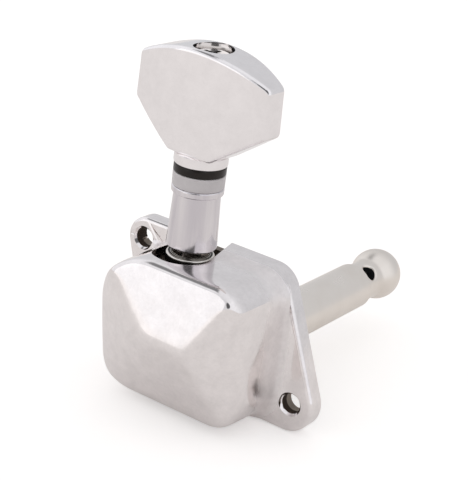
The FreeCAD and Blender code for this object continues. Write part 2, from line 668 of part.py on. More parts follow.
# Notch in the flat top: a round end that narrows to an open mouth at the headstock
reach = math.hypot(s["notch_mouth"].value, s["notch_depth"].value)
spread = math.acos(s["notch_radius"].value / reach)
middle_turn = math.atan2(s["notch_depth"].value, s["notch_mouth"].value)
notch = new_sketch(cover, "notch", "XY_Plane", offset=hollow_high - s["low_wall"])
centre = Vector(stem_x.value, -s["notch_depth"].value, 0)
touch = middle_turn - spread
round_end = Part.Circle(centre, Vector(0, 0, 1), s["notch_radius"].value)
end_arc = notch.addGeometry(Part.ArcOfCircle(round_end, math.pi - touch, touch + 2 * math.pi), False)
foot = Vector(s["notch_radius"].value * math.cos(touch), s["notch_radius"].value * math.sin(touch), 0)
mouth = Vector(s["notch_mouth"].value, s["notch_depth"].value, 0)
right_side = line(notch, centre + foot, centre + mouth)
left_side = line(notch, centre + Vector(-mouth.x, mouth.y, 0), centre + Vector(-foot.x, foot.y, 0))
mouth_line = line(notch, centre + mouth, centre + Vector(-mouth.x, mouth.y, 0))
pin(notch, end_arc, 3, stem_x, -s["notch_depth"])
constrain(notch, "Radius", end_arc, s["notch_radius"])
notch.addConstraint(Sketcher.Constraint("Tangent", end_arc, 2, right_side, 1))
notch.addConstraint(Sketcher.Constraint("Tangent", left_side, 2, end_arc, 1))
pin(notch, right_side, 2, stem_x + s["notch_mouth"], 0)
pin(notch, left_side, 1, stem_x - s["notch_mouth"], 0)
notch.addConstraint(Sketcher.Constraint("Coincident", right_side, 2, mouth_line, 1))
notch.addConstraint(Sketcher.Constraint("Coincident", mouth_line, 2, left_side, 1))
pocket(cover, notch, back=True)

ears = new_sketch(cover, "ear_holes", "XZ_Plane")
for x, z in (upper_ear, lower_ear):
    circle(ears, x, z, s["ear_hole_radius"])
pocket(cover, ears, both=True)
edge_work(cover, "Chamfer", "ear_rims", s["ear_rim_width"],
          ring_edge(s["ear_hole_radius"], -s["flange_thickness"], axis=1))

# Base plate: sheet with two tabs bent up to carry the stem
plate = new_body("base_plate")
plate_sketch = new_sketch(plate, "plate_outline", "XZ_Plane")
round_outline(plate_sketch, flange, inset=s["rim_width"] + s["plate_gap"])
pad(plate, plate_sketch, s["plate_thickness"])
tab_left = stem_x - s["tab_half_width"]
tab_right = stem_x + s["tab_half_width"]
for name, level in (("upper_tab", s["tab_high"]), ("lower_tab", -s["tab_low"])):
    tab = new_sketch(plate, name, "XY_Plane", offset=level - s["plate_thickness"])
    half = s["tab_half_width"].value
    low_point = Vector(stem_x.value, stem_y.value, 0)
    root = -s["plate_thickness"].value / 2
    nose = Part.Circle(low_point, Vector(0, 0, 1), half)
    bow = tab.addGeometry(Part.ArcOfCircle(nose, math.pi, 2 * math.pi), False)
    right = line(tab, low_point + Vector(half, 0, 0), Vector(tab_right.value, root, 0))
    back = line(tab, Vector(tab_right.value, root, 0), Vector(tab_left.value, root, 0))
    left = line(tab, Vector(tab_left.value, root, 0), low_point - Vector(half, 0, 0))
    pin(tab, bow, 3, stem_x, stem_y)
    constrain(tab, "Radius", bow, s["tab_half_width"])
    tab.addConstraint(Sketcher.Constraint("Tangent", bow, 2, right, 1))
    tab.addConstraint(Sketcher.Constraint("Coincident", right, 2, back, 1))
    tab.addConstraint(Sketcher.Constraint("Coincident", back, 2, left, 1))
    tab.addConstraint(Sketcher.Constraint("Tangent", left, 2, bow, 1))
    tab.addConstraint(Sketcher.Constraint("Vertical", right))
    tab.addConstraint(Sketcher.Constraint("Vertical", left))
    tab.addConstraint(Sketcher.Constraint("Horizontal", back))
    constrain(tab, "DistanceY", back, 2, -1, 1, s["plate_thickness"] / 2)
    pad(plate, tab, s["plate_thickness"])
undersides = (s["tab_high"] - s["plate_thickness"], -s["tab_low"] - s["plate_thickness"])
edge_work(plate, "Fillet", "tab_bends", s["tab_bend_radius"],
          lambda e: near(e.BoundBox.YMin, -s["plate_thickness"])
          and near(e.BoundBox.YMax, -s["plate_thickness"])
          and near(e.BoundBox.ZMin, e.BoundBox.ZMax)
          and any(near(e.BoundBox.ZMin, level) for level in undersides))
plate_holes = new_sketch(plate, "plate_holes", "XZ_Plane")
circle(plate_holes, 0, 0, s["post_bush_radius"])
for x, z in (upper_ear, lower_ear):
    circle(plate_holes, x, z, s["ear_hole_radius"])
pocket(plate, plate_holes, both=True)
bush_hole = new_sketch(plate, "bush_hole", "XY_Plane")
circle(bush_hole, stem_x, stem_y, s["bush_radius"])
pocket(plate, bush_hole, back=True)
journal_hole = new_sketch(plate, "journal_hole", "XY_Plane")
circle(journal_hole, stem_x, stem_y, s["journal_radius"] + s["journal_gap"])
pocket(plate, journal_hole)

# Post bush: flanged bearing pressed in the base plate
post_bush = new_body("post_bush")
flange_start = s["plate_thickness"]
flange_end = s["plate_thickness"] + s["post_bush_flange"]
turned(post_bush, "post_bush_profile", "XY_Plane", [
    (bore, -s["plate_gap"]), (s["post_bush_radius"], -s["plate_gap"]),
    (s["post_bush_radius"], -flange_start), (s["post_bush_flange_radius"], -flange_start),
    (s["post_bush_flange_radius"], -flange_end), (s["post_bush_radius"], -flange_end),
    (s["post_bush_radius"], s["post_bush_play"] - washer_back),
    (bore, s["post_bush_play"] - washer_back)])

# Worm wheel on its double-flat seat, and the washers and screw that hold it
wheel_washer = new_body("wheel_washer")
turned(wheel_washer, "wheel_washer_profile", "XY_Plane", [
    (bore, -washer_front), (bore, -washer_back),
    (s["wheel_washer_radius"], -washer_back), (s["wheel_washer_radius"], -washer_front)])

wheel = new_body("worm_wheel")
seat_hole = s["seat_radius"] + s["seat_gap"]
turned(wheel, "wheel_blank", "XY_Plane", [
    (0, -wheel_front), (s["wheel_outer_radius"], -wheel_front),
    (s["wheel_outer_radius"], -wheel_back), (0, -wheel_back)])
edge_work(wheel, "Chamfer", "wheel_rims", s["wheel_tooth_edge"],
          lambda e: near(round_of(e), s["wheel_outer_radius"]))
flank = tangent(s["wheel_flank_angle"])
gap_out = s["wheel_outer_radius"] + s["wheel_tooth_edge"]
gap_half = s["thread_pitch"] / 4 + s["mesh_play"]
gap_low = gap_half - s["tooth_depth"] * flank
gap_high = gap_half + (gap_out - pitch_radius) * flank
overrun = s["wheel_tooth_edge"]
helix_share = (s["wheel_width"] / 2 + overrun) / (s["wheel_width"] / 2)
gap_sketches = []
for name, offset, turn in (
        ("gap_back", wheel_back - overrun, -s["wheel_helix_angle"] * helix_share),
        ("gap_front", wheel_front + overrun, s["wheel_helix_angle"] * helix_share)):
    gap = new_sketch(wheel, name, "XZ_Plane", offset=offset, turn=turn)
    sharp_outline(gap, [
        (-s["wheel_root_radius"], gap_low), (-gap_out, gap_high),
        (-gap_out, -gap_high), (-s["wheel_root_radius"], -gap_low)])
    gap_sketches.append(gap)
tooth_gap = loft(wheel, "SubtractiveLoft", *gap_sketches)
teeth = wheel.newObject("PartDesign::PolarPattern", "teeth")
teeth.Originals = [tooth_gap]
wheel_axis = [f for f in wheel.Origin.OriginFeatures if f.Role == "Y_Axis"][0]
teeth.Axis = (wheel_axis, [""])
teeth.setExpression("Occurrences", s["wheel_teeth"].text)
wheel.Tip = teeth
settle(wheel, teeth, False, tooth_gap)
seat_sketch = new_sketch(wheel, "seat_hole", "XZ_Plane")
double_flat(seat_sketch, seat_hole, s["seat_flat"] + s["seat_gap"])
pocket(wheel, seat_sketch, both=True)

screw_washer = new_body("wheel_screw_washer")
washer_out = wheel_front + s["wheel_screw_washer_thickness"]
screw_bore = s["wheel_screw_radius"] + s["screw_gap"]
turned(screw_washer, "screw_washer_profile", "XY_Plane", [
    (screw_bore, -wheel_front), (screw_bore, -washer_out),
    (s["wheel_screw_washer_radius"], -washer_out), (s["wheel_screw_washer_radius"], -wheel_front)])

wheel_screw = new_body("wheel_screw")
head_out = washer_out + s["wheel_screw_head_height"]
turned(wheel_screw, "wheel_screw_profile", "XY_Plane", [
    (0, -head_out), (s["wheel_screw_head_radius"], -head_out),
    (s["wheel_screw_head_radius"], -washer_out), (s["wheel_screw_radius"], -washer_out),
    (s["wheel_screw_radius"], s["wheel_screw_length"] - washer_out),
    (0, s["wheel_screw_length"] - washer_out)])
edge_work(wheel_screw, "Fillet", "wheel_screw_crown", s["key_screw_head_edge"],
          ring_edge(s["wheel_screw_head_radius"], -head_out, axis=1))
cross_recess(wheel_screw, "wheel_screw_cross", "XZ_Plane", head_out)

# String post: shaft with the wheel's seat, waist, ball end and string hole
post = new_body("string_post")
seat_end = wheel_front - s["end_play"]
step = s["post_step"]
turned(post, "post_profile", "XY_Plane", [
    (0, -seat_end), (s["seat_radius"], -seat_end), (s["seat_radius"], -wheel_back),
    (s["post_radius"], -wheel_back), (s["post_radius"], step),
    (s["waist_radius"], step + s["post_step_chamfer"]),
    (s["waist_radius"], s["ball_centre"]), (0, s["ball_centre"])])
ball_sketch = new_sketch(post, "ball_profile", "XY_Plane")
half_circle = Part.Circle(Vector(0, s["ball_centre"].value, 0), Vector(0, 0, 1), s["ball_radius"].value)
bow = ball_sketch.addGeometry(Part.ArcOfCircle(half_circle, -math.pi / 2, math.pi / 2), False)
spine = line(ball_sketch, half_circle.value(math.pi / 2), half_circle.value(-math.pi / 2))
pin(ball_sketch, bow, 3, 0, s["ball_centre"])
constrain(ball_sketch, "Radius", bow, s["ball_radius"])
ball_sketch.addConstraint(Sketcher.Constraint("Coincident", bow, 2, spine, 1))
ball_sketch.addConstraint(Sketcher.Constraint("Coincident", spine, 2, bow, 1))
ball_sketch.addConstraint(Sketcher.Constraint("PointOnObject", spine, 1, -2))
ball_sketch.addConstraint(Sketcher.Constraint("PointOnObject", spine, 2, -2))
ball = post.newObject("PartDesign::Revolution", "ball")
ball.Profile = ball_sketch
ball.ReferenceAxis = (ball_sketch, ["V_Axis"])
settle(post, ball, True)
edge_work(post, "Fillet", "ball_blend", s["ball_blend_radius"],
          lambda e: e.BoundBox.YMin > step.value + s["post_step_chamfer"].value * 2
          and near(round_of(e), s["waist_radius"]))
seat = new_sketch(post, "post_seat", "XZ_Plane", offset=wheel_back)
outer = s["post_radius"] * 2
for side in (1, -1):
    sharp_outline(seat, [
        (outer * side, s["seat_flat"] * side), (outer * side, outer * side),
        (-outer * side, outer * side), (-outer * side, s["seat_flat"] * side)])
pocket(post, seat, back=True)
thread_hole = new_sketch(post, "screw_hole", "XZ_Plane", offset=seat_end)
circle(thread_hole, 0, 0, screw_bore)
pocket(post, thread_hole, s["wheel_screw_length"])
hole = new_sketch(post, "string_hole", "XY_Plane", axis=Vector(0, 1, 0),
                  turn=-s["string_hole_turn"] + 90)
circle(hole, 0, s["string_hole_place"], s["string_hole_radius"])
pocket(post, hole, both=True)
edge_work(post, "Fillet", "string_hole_rims", s["string_hole_edge"],
          lambda e: near(e.BoundBox.Center.y, s["string_hole_place"])
          and near(e.BoundBox.YLength, s["string_hole_radius"] * 2))

# Worm shaft: journal, worm, shoulder and stem in one piece
thrust_top = s["tab_high"] - s["plate_thickness"] - s["end_play"]
shoulder = s["worm_outer_radius"] - s["screw_gap"]
shoulder_top = thrust_top - s["thrust_washer_thickness"] - s["end_play"]
shaft = new_body("worm_shaft", stem_x, stem_y, s["key_turn"])
turned(shaft, "shaft_profile", "XZ_Plane", [
    (0, -s["journal_end"]), (s["journal_radius"], -s["journal_end"]),
    (s["journal_radius"], s["end_play"] - s["tab_low"]),
    (s["worm_root_radius"], s["end_play"] - s["tab_low"]),
    (s["worm_root_radius"], s["worm_shoulder_low"]),
    (shoulder, s["worm_shoulder_low"]), (shoulder, shoulder_top), (s["stem_radius"], shoulder_top),
    (s["stem_radius"], s["stem_top"]), (0, s["stem_top"])])
thread_flank = tangent(s["thread_flank_angle"])
thread_low = s["worm_root_radius"] - s["thread_sink"]
thread_half = s["thread_pitch"] / 4 - s["mesh_play"]
half_low = thread_half + (s["worm_pitch_radius"] - thread_low) * thread_flank
half_high = thread_half - s["tooth_height"] * thread_flank
thread_start = s["thread_pitch"] * s["key_turn"] / 360 - thread_height / 2
thread_sketch = new_sketch(shaft, "thread_profile", "XZ_Plane")
sharp_outline(thread_sketch, [
    (thread_low, thread_start - half_low), (s["worm_outer_radius"], thread_start - half_high),
    (s["worm_outer_radius"], thread_start + half_high), (thread_low, thread_start + half_low)])
thread = shaft.newObject("PartDesign::AdditiveHelix", "thread")
thread.Profile = thread_sketch
thread.ReferenceAxis = (thread_sketch, ["V_Axis"])
thread.Mode = "pitch-height-angle"
thread.setExpression("Pitch", s["thread_pitch"].text)
thread.setExpression("Height", thread_height.text)
settle(shaft, thread, True)
flats = new_sketch(shaft, "stem_flats", "XY_Plane", offset=s["stem_flat_start"])
wide = s["stem_radius"] * 2
for side in (1, -1):
    sharp_outline(flats, [
        (wide * side, s["stem_flat"] * side), (wide * side, wide * side),
        (-wide * side, wide * side), (-wide * side, s["stem_flat"] * side)])
pocket(shaft, flats, back=True)
key_thread = new_sketch(shaft, "key_screw_hole", "XY_Plane", offset=s["stem_top"])
circle(key_thread, 0, 0, s["key_screw_radius"] + s["screw_gap"])
pocket(shaft, key_thread, s["stem_top"] - s["key_screw_end"])

thrust_washer = new_body("thrust_washer", stem_x, stem_y)
turned(thrust_washer, "thrust_washer_profile", "XZ_Plane", [
    (stem_bore, thrust_top - s["thrust_washer_thickness"]),
    (s["thrust_washer_radius"], thrust_top - s["thrust_washer_thickness"]),
    (s["thrust_washer_radius"], thrust_top), (stem_bore, thrust_top)])

# Stem bush, barrel and spacer ring stand still round the stem.
stem_bush = new_body("stem_bush", stem_x, stem_y)
turned(stem_bush, "stem_bush_profile", "XZ_Plane", [
    (stem_bore, s["tab_high"] - s["plate_thickness"]),
    (s["bush_radius"], s["tab_high"] - s["plate_thickness"]),
    (s["bush_radius"], s["tab_high"]), (s["bush_flange_radius"], s["tab_high"]),
    (s["bush_flange_radius"], s["bush_flange_top"]), (s["bush_neck_radius"], s["bush_flange_top"]),
    (s["bush_neck_radius"], s["bush_neck_top"]), (stem_bore, s["bush_neck_top"])])
edge_work(stem_bush, "Fillet", "bush_ring_edge", s["bush_flange_edge"],
          ring_edge(s["bush_flange_radius"], s["bush_flange_top"]))

barrel = new_body("barrel", stem_x, stem_y)
turned(barrel, "barrel_profile", "XZ_Plane", [
    (s["bush_neck_radius"], s["barrel_low"]), (s["barrel_low_radius"], s["barrel_low"]),
    (s["barrel_high_radius"], s["barrel_high"]), (s["lip_radius"], s["barrel_high"]),
    (s["lip_radius"], s["lip_top"]), (s["barrel_bore_radius"], s["lip_top"]),
    (s["barrel_bore_radius"], s["bush_neck_top"]), (s["bush_neck_radius"], s["bush_neck_top"])])
edge_work(barrel, "Fillet", "barrel_edges", s["lip_edge"],
          lambda e: ring_edge(s["lip_radius"], s["barrel_high"])(e)
          or ring_edge(s["lip_radius"], s["lip_top"])(e)
          or ring_edge(s["barrel_low_radius"], s["barrel_low"])(e))

spacer = new_body("spacer_ring", stem_x, stem_y)
turned(spacer, "spacer_profile", "XZ_Plane", [
    (stem_bore, s["lip_top"]), (s["spacer_low_radius"], s["lip_top"]),
    (s["spacer_top_radius"], s["spacer_top"]), (stem_bore, s["spacer_top"])])
edge_work(spacer, "Fillet", "spacer_edges", s["spacer_edge"],
          lambda e: ring_edge(s["spacer_low_radius"], s["lip_top"])(e)
          or ring_edge(s["spacer_top_radius"], s["spacer_top"])(e))

# Friction ring, key and key screw turn with the stem.
friction = new_body("friction_ring", stem_x, stem_y, s["key_turn"])
ring_bore = s["stem_radius"] + s["screw_gap"]
ring_low = s["spacer_top"] + s["end_play"]
turned(friction, "friction_profile", "XZ_Plane", [
    (ring_bore, ring_low), (s["friction_radius"], ring_low),
    (s["friction_radius"], s["collar_low"]), (ring_bore, s["collar_low"])])
edge_work(friction, "Fillet", "friction_edges", s["spacer_edge"],
          lambda e: ring_edge(s["friction_radius"], ring_low)(e)
          or ring_edge(s["friction_radius"], s["collar_low"])(e))

key = new_body("key", stem_x, stem_y, s["key_turn"])
key_sketch = new_sketch(key, "key_outline", "XZ_Plane")
key_corners = [
    (-s["key_shoulder_half"], s["key_shoulder"]), (-s["key_wide_half"], s["key_wide"]),
    (-s["key_low_half"], s["key_low"]), (s["key_low_half"], s["key_low"]),
    (s["key_wide_half"], s["key_wide"]), (s["key_shoulder_half"], s["key_shoulder"])]
corner_points = [Vector(x.value, z.value, 0) for x, z in key_corners]
sides = [line(key_sketch, a, b) for a, b in zip(corner_points, corner_points[1:])]
for first, second in zip(sides, sides[1:]):
    key_sketch.addConstraint(Sketcher.Constraint("Coincident", first, 2, second, 1))
for side, (x, z) in zip(sides, key_corners):
    pin(key_sketch, side, 1, x, z)
pin(key_sketch, sides[-1], 2, *key_corners[-1])
crown = three_point_arc(key_sketch, key_corners[-1], (0, s["key_top"]), key_corners[0])
key_sketch.addConstraint(Sketcher.Constraint("Coincident", crown, 1, sides[-1], 2))
key_sketch.addConstraint(Sketcher.Constraint("Coincident", crown, 2, sides[0], 1))
pad(key, key_sketch, s["key_half_thickness"] * 2, both=True)
edge_work(key, "Fillet", "key_corners", s["key_corner_radius"],
          lambda e: near(e.BoundBox.YLength, s["key_half_thickness"] * 2))
# Both faces bulge towards mid width.
reach = s["key_wide_half"] + s["wall"]
bulge = s["key_face_radius"]
drop = bulge.value - math.sqrt(bulge.value ** 2 - reach.value ** 2)
for name, side in (("front_face", -1), ("back_face", 1)):
    face = new_sketch(key, name, "XY_Plane")
    crown_y = s["key_half_thickness"] * side
    bulge_centre = (s["key_half_thickness"] - bulge) * side
    edge_y = (s["key_half_thickness"].value - drop) * side
    outer_y = crown_y * 2
    arc_middle = Vector(0, crown_y.value, 0)
    left_end = Vector(-reach.value, edge_y, 0)
    right_end = Vector(reach.value, edge_y, 0)
    ends = (left_end, right_end) if side < 0 else (right_end, left_end)
    curve = face.addGeometry(Part.Arc(ends[0], arc_middle, ends[1]), False)
    first, last = (1, 2) if side < 0 else (2, 1)
    left_line = line(face, Vector(-reach.value, outer_y.value, 0), left_end)
    right_line = line(face, right_end, Vector(reach.value, outer_y.value, 0))
    corner = Vector(reach.value, outer_y.value, 0)
    outer_line = line(face, corner, Vector(-reach.value, outer_y.value, 0))
    pin(face, curve, 3, 0, bulge_centre)
    constrain(face, "Radius", curve, bulge)
    face.addConstraint(Sketcher.Constraint("Coincident", left_line, 2, curve, first))
    face.addConstraint(Sketcher.Constraint("Coincident", right_line, 1, curve, last))
    face.addConstraint(Sketcher.Constraint("Coincident", right_line, 2, outer_line, 1))
    face.addConstraint(Sketcher.Constraint("Coincident", outer_line, 2, left_line, 1))
    face.addConstraint(Sketcher.Constraint("Vertical", left_line))
    face.addConstraint(Sketcher.Constraint("Vertical", right_line))
    pin(face, outer_line, 1, reach, outer_y)
    pin(face, outer_line, 2, -reach, outer_y)
    pocket(key, face, both=True)
edge_work(key, "Fillet", "key_face_edges", s["key_edge_radius"],
          lambda e: e.BoundBox.YMin > 0 or e.BoundBox.YMax < 0)
turned(key, "collar", "XZ_Plane", [
    (0, s["collar_low"]), (s["collar_radius"], s["collar_low"]),
    (s["collar_radius"], s["key_low"]), (s["stem_radius"], s["collar_top"]), (0, s["collar_top"])])
edge_work(key, "Fillet", "collar_edge", s["collar_edge"],
          ring_edge(s["collar_radius"], s["collar_low"]))
socket_top = s["stem_top"] + s["end_play"]
turned(key, "screw_bore", "XZ_Plane", [
    (0, s["stem_flat_start"]), (s["key_screw_radius"] + s["key_screw_play"], s["stem_flat_start"]),
    (s["key_screw_radius"] + s["key_screw_play"], s["recess_floor"]),
    (s["recess_radius"], s["recess_floor"]), (s["recess_radius"], s["key_top"] + s["wall"]),
    (0, s["key_top"] + s["wall"])], groove=True)
turned(key, "stem_bore", "XZ_Plane", [
    (0, s["collar_low"]), (s["stem_radius"] + s["screw_gap"], s["collar_low"]),
    (s["stem_radius"] + s["screw_gap"], s["stem_flat_start"]), (0, s["stem_flat_start"])],
    groove=True)
socket = new_sketch(key, "stem_socket", "XY_Plane", offset=socket_top)
double_flat(socket, s["stem_radius"] + s["screw_gap"], s["stem_flat"] + s["screw_gap"])
pocket(key, socket, socket_top - s["stem_flat_start"])

key_screw = new_body("key_screw", stem_x, stem_y, s["key_turn"])
turned(key_screw, "key_screw_profile", "XZ_Plane", [
    (0, s["key_screw_end"]), (s["key_screw_radius"], s["key_screw_end"]),
    (s["key_screw_radius"], s["recess_floor"]), (s["key_screw_head_radius"], s["recess_floor"]),
    (s["key_screw_head_radius"], s["key_screw_head_top"]), (0, s["key_screw_head_top"])])
edge_work(key_screw, "Fillet", "key_screw_crown", s["key_screw_head_edge"],
          ring_edge(s["key_screw_head_radius"], s["key_screw_head_top"]))
cross_recess(key_screw, "key_screw_cross", "XY_Plane", s["key_screw_head_top"])

# Every feature must have solved before anything is written.
doc.recompute()
for item in doc.Objects:
    if "Invalid" in item.State or "Error" in item.State:
        raise ValueError("%s is not solved" % item.Name)
os.makedirs("parts", exist_ok=True)
for body in doc.findObjects("PartDesign::Body"):
    if body.Shape.isNull() or not body.Shape.isValid():
        raise ValueError("%s has no valid shape" % body.Label)
    body.Shape.exportStep("parts/%s.step" % body.Label)
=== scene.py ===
import math

import bmesh
import bpy
import numpy as np
from mathutils import Matrix, Vector


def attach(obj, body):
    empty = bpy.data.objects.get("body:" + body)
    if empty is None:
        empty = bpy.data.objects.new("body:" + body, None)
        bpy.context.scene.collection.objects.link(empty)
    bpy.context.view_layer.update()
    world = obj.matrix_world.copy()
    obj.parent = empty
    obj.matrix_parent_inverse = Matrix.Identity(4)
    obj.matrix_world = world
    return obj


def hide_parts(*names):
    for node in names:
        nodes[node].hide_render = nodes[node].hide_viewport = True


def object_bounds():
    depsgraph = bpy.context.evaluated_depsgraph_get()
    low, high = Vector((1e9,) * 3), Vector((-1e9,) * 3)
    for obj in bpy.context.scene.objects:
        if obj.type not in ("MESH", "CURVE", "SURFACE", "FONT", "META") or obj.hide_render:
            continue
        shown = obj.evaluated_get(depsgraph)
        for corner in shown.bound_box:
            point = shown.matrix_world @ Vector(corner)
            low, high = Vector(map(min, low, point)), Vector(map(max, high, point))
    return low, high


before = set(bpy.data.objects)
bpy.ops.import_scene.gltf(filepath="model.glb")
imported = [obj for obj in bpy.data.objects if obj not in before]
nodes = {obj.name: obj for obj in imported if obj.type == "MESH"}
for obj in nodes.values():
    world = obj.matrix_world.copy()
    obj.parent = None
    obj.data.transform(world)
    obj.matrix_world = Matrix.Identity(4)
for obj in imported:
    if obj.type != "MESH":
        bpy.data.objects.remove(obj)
cad_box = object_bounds()
scene = bpy.context.scene
MM = 0.001


# Cover: one zinc casting, polished and chrome plated, with the flange, its two screw
# ears and the hipped box over the worm drive. Cast in one piece, then buffed by hand, so
# the flats are not quite flat and the mirror picture in them runs in slow waves.
CREASE = math.radians(32.0)
JOINED = 0.001 * MM


def shining_copy(node, name):
    """The node's own surface with its loose triangles joined: points closer than JOINED
    become one, every face is smooth, and edges bent by more than CREASE stay sharp.
    Large faces then pull the normals of their rims towards their own."""
    shape = bpy.data.objects.new(name, nodes[node].data.copy())
    scene.collection.objects.link(shape)
    shape.data.materials.clear()
    shape.data.name = name
    bpy.context.view_layer.objects.active = shape
    for other in bpy.context.selected_objects:
        other.select_set(False)
    shape.select_set(True)
    bpy.ops.object.mode_set(mode="EDIT")
    bpy.ops.mesh.select_all(action="SELECT")
    bpy.ops.mesh.customdata_custom_splitnormals_clear()
    bpy.ops.mesh.remove_doubles(threshold=JOINED)
    bpy.ops.object.mode_set(mode="OBJECT")
    bpy.ops.object.shade_smooth_by_angle(angle=CREASE)
    rims = shape.modifiers.new("even_normals", "WEIGHTED_NORMAL")
    rims.keep_sharp = True
    rims.weight = 60
    return shape


def linear(hex_colour):
    """Linear red, green, blue and alpha of an sRGB hex colour: each channel over 0.04045
    is ((c + 0.055) / 1.055) to the power 2.4, below it c / 12.92."""
    c = np.array([int(hex_colour[i:i + 2], 16) for i in (0, 2, 4)]) / 255
    c = np.where(c > 0.04045, ((c + 0.055) / 1.055) ** 2.4, c / 12.92)
    return (*c.tolist(), 1.0)


def add(tree, kind, settings=None, links=None, **fields):
    """Adds a shader node of that kind, with its fields, its sockets' values and its
    links, each link given as socket: (node, output)."""
    node = tree.nodes.new("ShaderNode" + kind)
    for key, value in fields.items():
        setattr(node, key, value)
    for key, value in (settings or {}).items():
        node.inputs[key].default_value = value
    for key, (source, output) in (links or {}).items():
        tree.links.new(source.outputs[output], node.inputs[key])
    return node


def new_material(name):
    """An empty node material, its tree, and the link that gives a node the place on the
    object."""
    material = bpy.data.materials.new(name)
    material.use_nodes = True
    tree = material.node_tree
    tree.nodes.clear()
    return material, tree, {"Vector": (add(tree, "TexCoord"), "Object")}


def plated_casting(name, colour, cloud_colour, wave_mm, wave_depth_mm, dull, bright,
                   corner=0.0):
    """Bright chrome on a buffed casting: the plate's grey is mottled in clouds from 2 mm
    down to 0.06 mm, its polish runs from bright to dull in smears of 2.5 mm, and two bumps
    give the slow wave that buffing leaves and a fine orange peel of 0.35 mm. In the corner
    by the flange, where no wheel reaches, the roughness grows by up to corner: it starts
    at 7.5 mm from the headstock, is full at 4.2 mm and gone on the flange."""
    material, tree, here = new_material(name)
    cloud = add(tree, "TexNoise", {"Scale": 1 / (2 * MM), "Detail": 6.0, "Roughness": 0.8}, here)
    mottle = add(tree, "MapRange", {"From Min": 0.36, "From Max": 0.64}, {"Value": (cloud, "Fac")})
    tint = add(tree, "Mix", {"A": linear(colour), "B": linear(cloud_colour)},
               {"Factor": (mottle, "Result")}, data_type="RGBA")
    smear = add(tree, "TexNoise", {"Scale": 1 / (2.5 * MM), "Detail": 4.0, "Roughness": 0.6}, here)
    polish = add(tree, "MapRange",
                 {"From Min": 0.35, "From Max": 0.7, "To Min": bright, "To Max": dull},
                 {"Value": (smear, "Fac")})
    part = add(tree, "SeparateXYZ", links=here)
    near = add(tree, "MapRange",
               {"From Min": -7.5 * MM, "From Max": -4.2 * MM, "To Max": corner},
               {"Value": (part, "Y")}, interpolation_type="SMOOTHSTEP")
    off = add(tree, "MapRange",
              {"From Min": -2.7 * MM, "From Max": -2.3 * MM, "To Min": 1.0, "To Max": 0.0},
              {"Value": (part, "Y")}, interpolation_type="SMOOTHSTEP")
    rough = add(tree, "Math", operation="MULTIPLY_ADD",
                links={0: (near, "Result"), 1: (off, "Result"), 2: (polish, "Result")})
    wave = add(tree, "TexNoise",
               {"Scale": 1 / (wave_mm * MM), "Detail": 1.0, "Roughness": 0.4}, here)
    slow = add(tree, "Bump", {"Strength": 1.0, "Distance": wave_depth_mm * MM},
               {"Height": (wave, "Fac")})
    grain = add(tree, "TexNoise",
                {"Scale": 1 / (0.35 * MM), "Detail": 2.0, "Roughness": 0.5}, here)
    peel = add(tree, "Bump", {"Strength": 0.35, "Distance": 0.0015 * MM},
               {"Height": (grain, "Fac"), "Normal": (slow, "Normal")})
    shader = add(tree, "BsdfPrincipled", {"Metallic": 1.0},
                 {"Base Color": (tint, "Result"), "Roughness": (rough, "Value"),
                  "Normal": (peel, "Normal")})
    add(tree, "OutputMaterial", links={"Surface": (shader, "BSDF")})
    return material


cover_chrome = plated_casting("chrome_plate_on_cast_cover", "f4efee", "e8e3e2", wave_mm=7.0,
                              wave_depth_mm=0.012, dull=0.16, bright=0.07, corner=0.45)

# The buffed form in mm: each plane's outward normal and how far it reaches along that,
# the softness of the ridge and the hips, the radii of the long edges, the rim's softness,
# which grows from RIM_HIGH down to RIM_LOW, and the flare into the flange, which fades out
# below FLARE_END.
PLANES = {
    "top": ((0, 0, 1), 11.95), "under": ((0, -0.025, -1), 7.0),
    "left": ((-1, -0.013, 0), 13.4), "right": ((1, -0.019, 0), 7.15),
    "high_facet": ((0, -0.96494, 0.26246), 15.062), "low_facet": ((0, -0.91, -0.414), 11.83),
    "left_facet": ((-0.371, -0.92, -0.124), 14.86),
    "right_facet": ((0.592, -0.799, -0.108), 12.48)}
RIDGE, RIGHT_HIP, LEFT_HIP = 0.14, 0.2, 0.22
LONG_EDGES = (("top", "left", 7.1), ("top", "right", 3.4),
              ("under", "left", 4.2), ("under", "right", 4.2))
RIM, RIM_GROWTH, RIM_HIGH, RIM_LOW = 0.4, 0.05, 9.0, 7.0
FLANGE_FRONT = 2.2
FLARE, FLARE_END, FLARE_FADE = 0.75, 11.2, 2.0
BELLY, BELLY_HEIGHT = 0.0065, 2.0


def rounder(a, b, softness):
    """Smooth maximum of two depths: softness times the logarithm of the sum of e to the
    power of each over softness, so two planes meet in a round and not in an edge."""
    return softness * np.logaddexp(a / softness, b / softness)


def cornered(a, b, radius):
    """Depth where two square walls meet in a quarter circle of that radius: the length of
    the part of (a + radius, b + radius) above 0, or the larger depth further in."""
    outer = np.hypot(np.maximum(a + radius, 0), np.maximum(b + radius, 0))
    return outer + np.minimum(np.maximum(a, b), -radius)


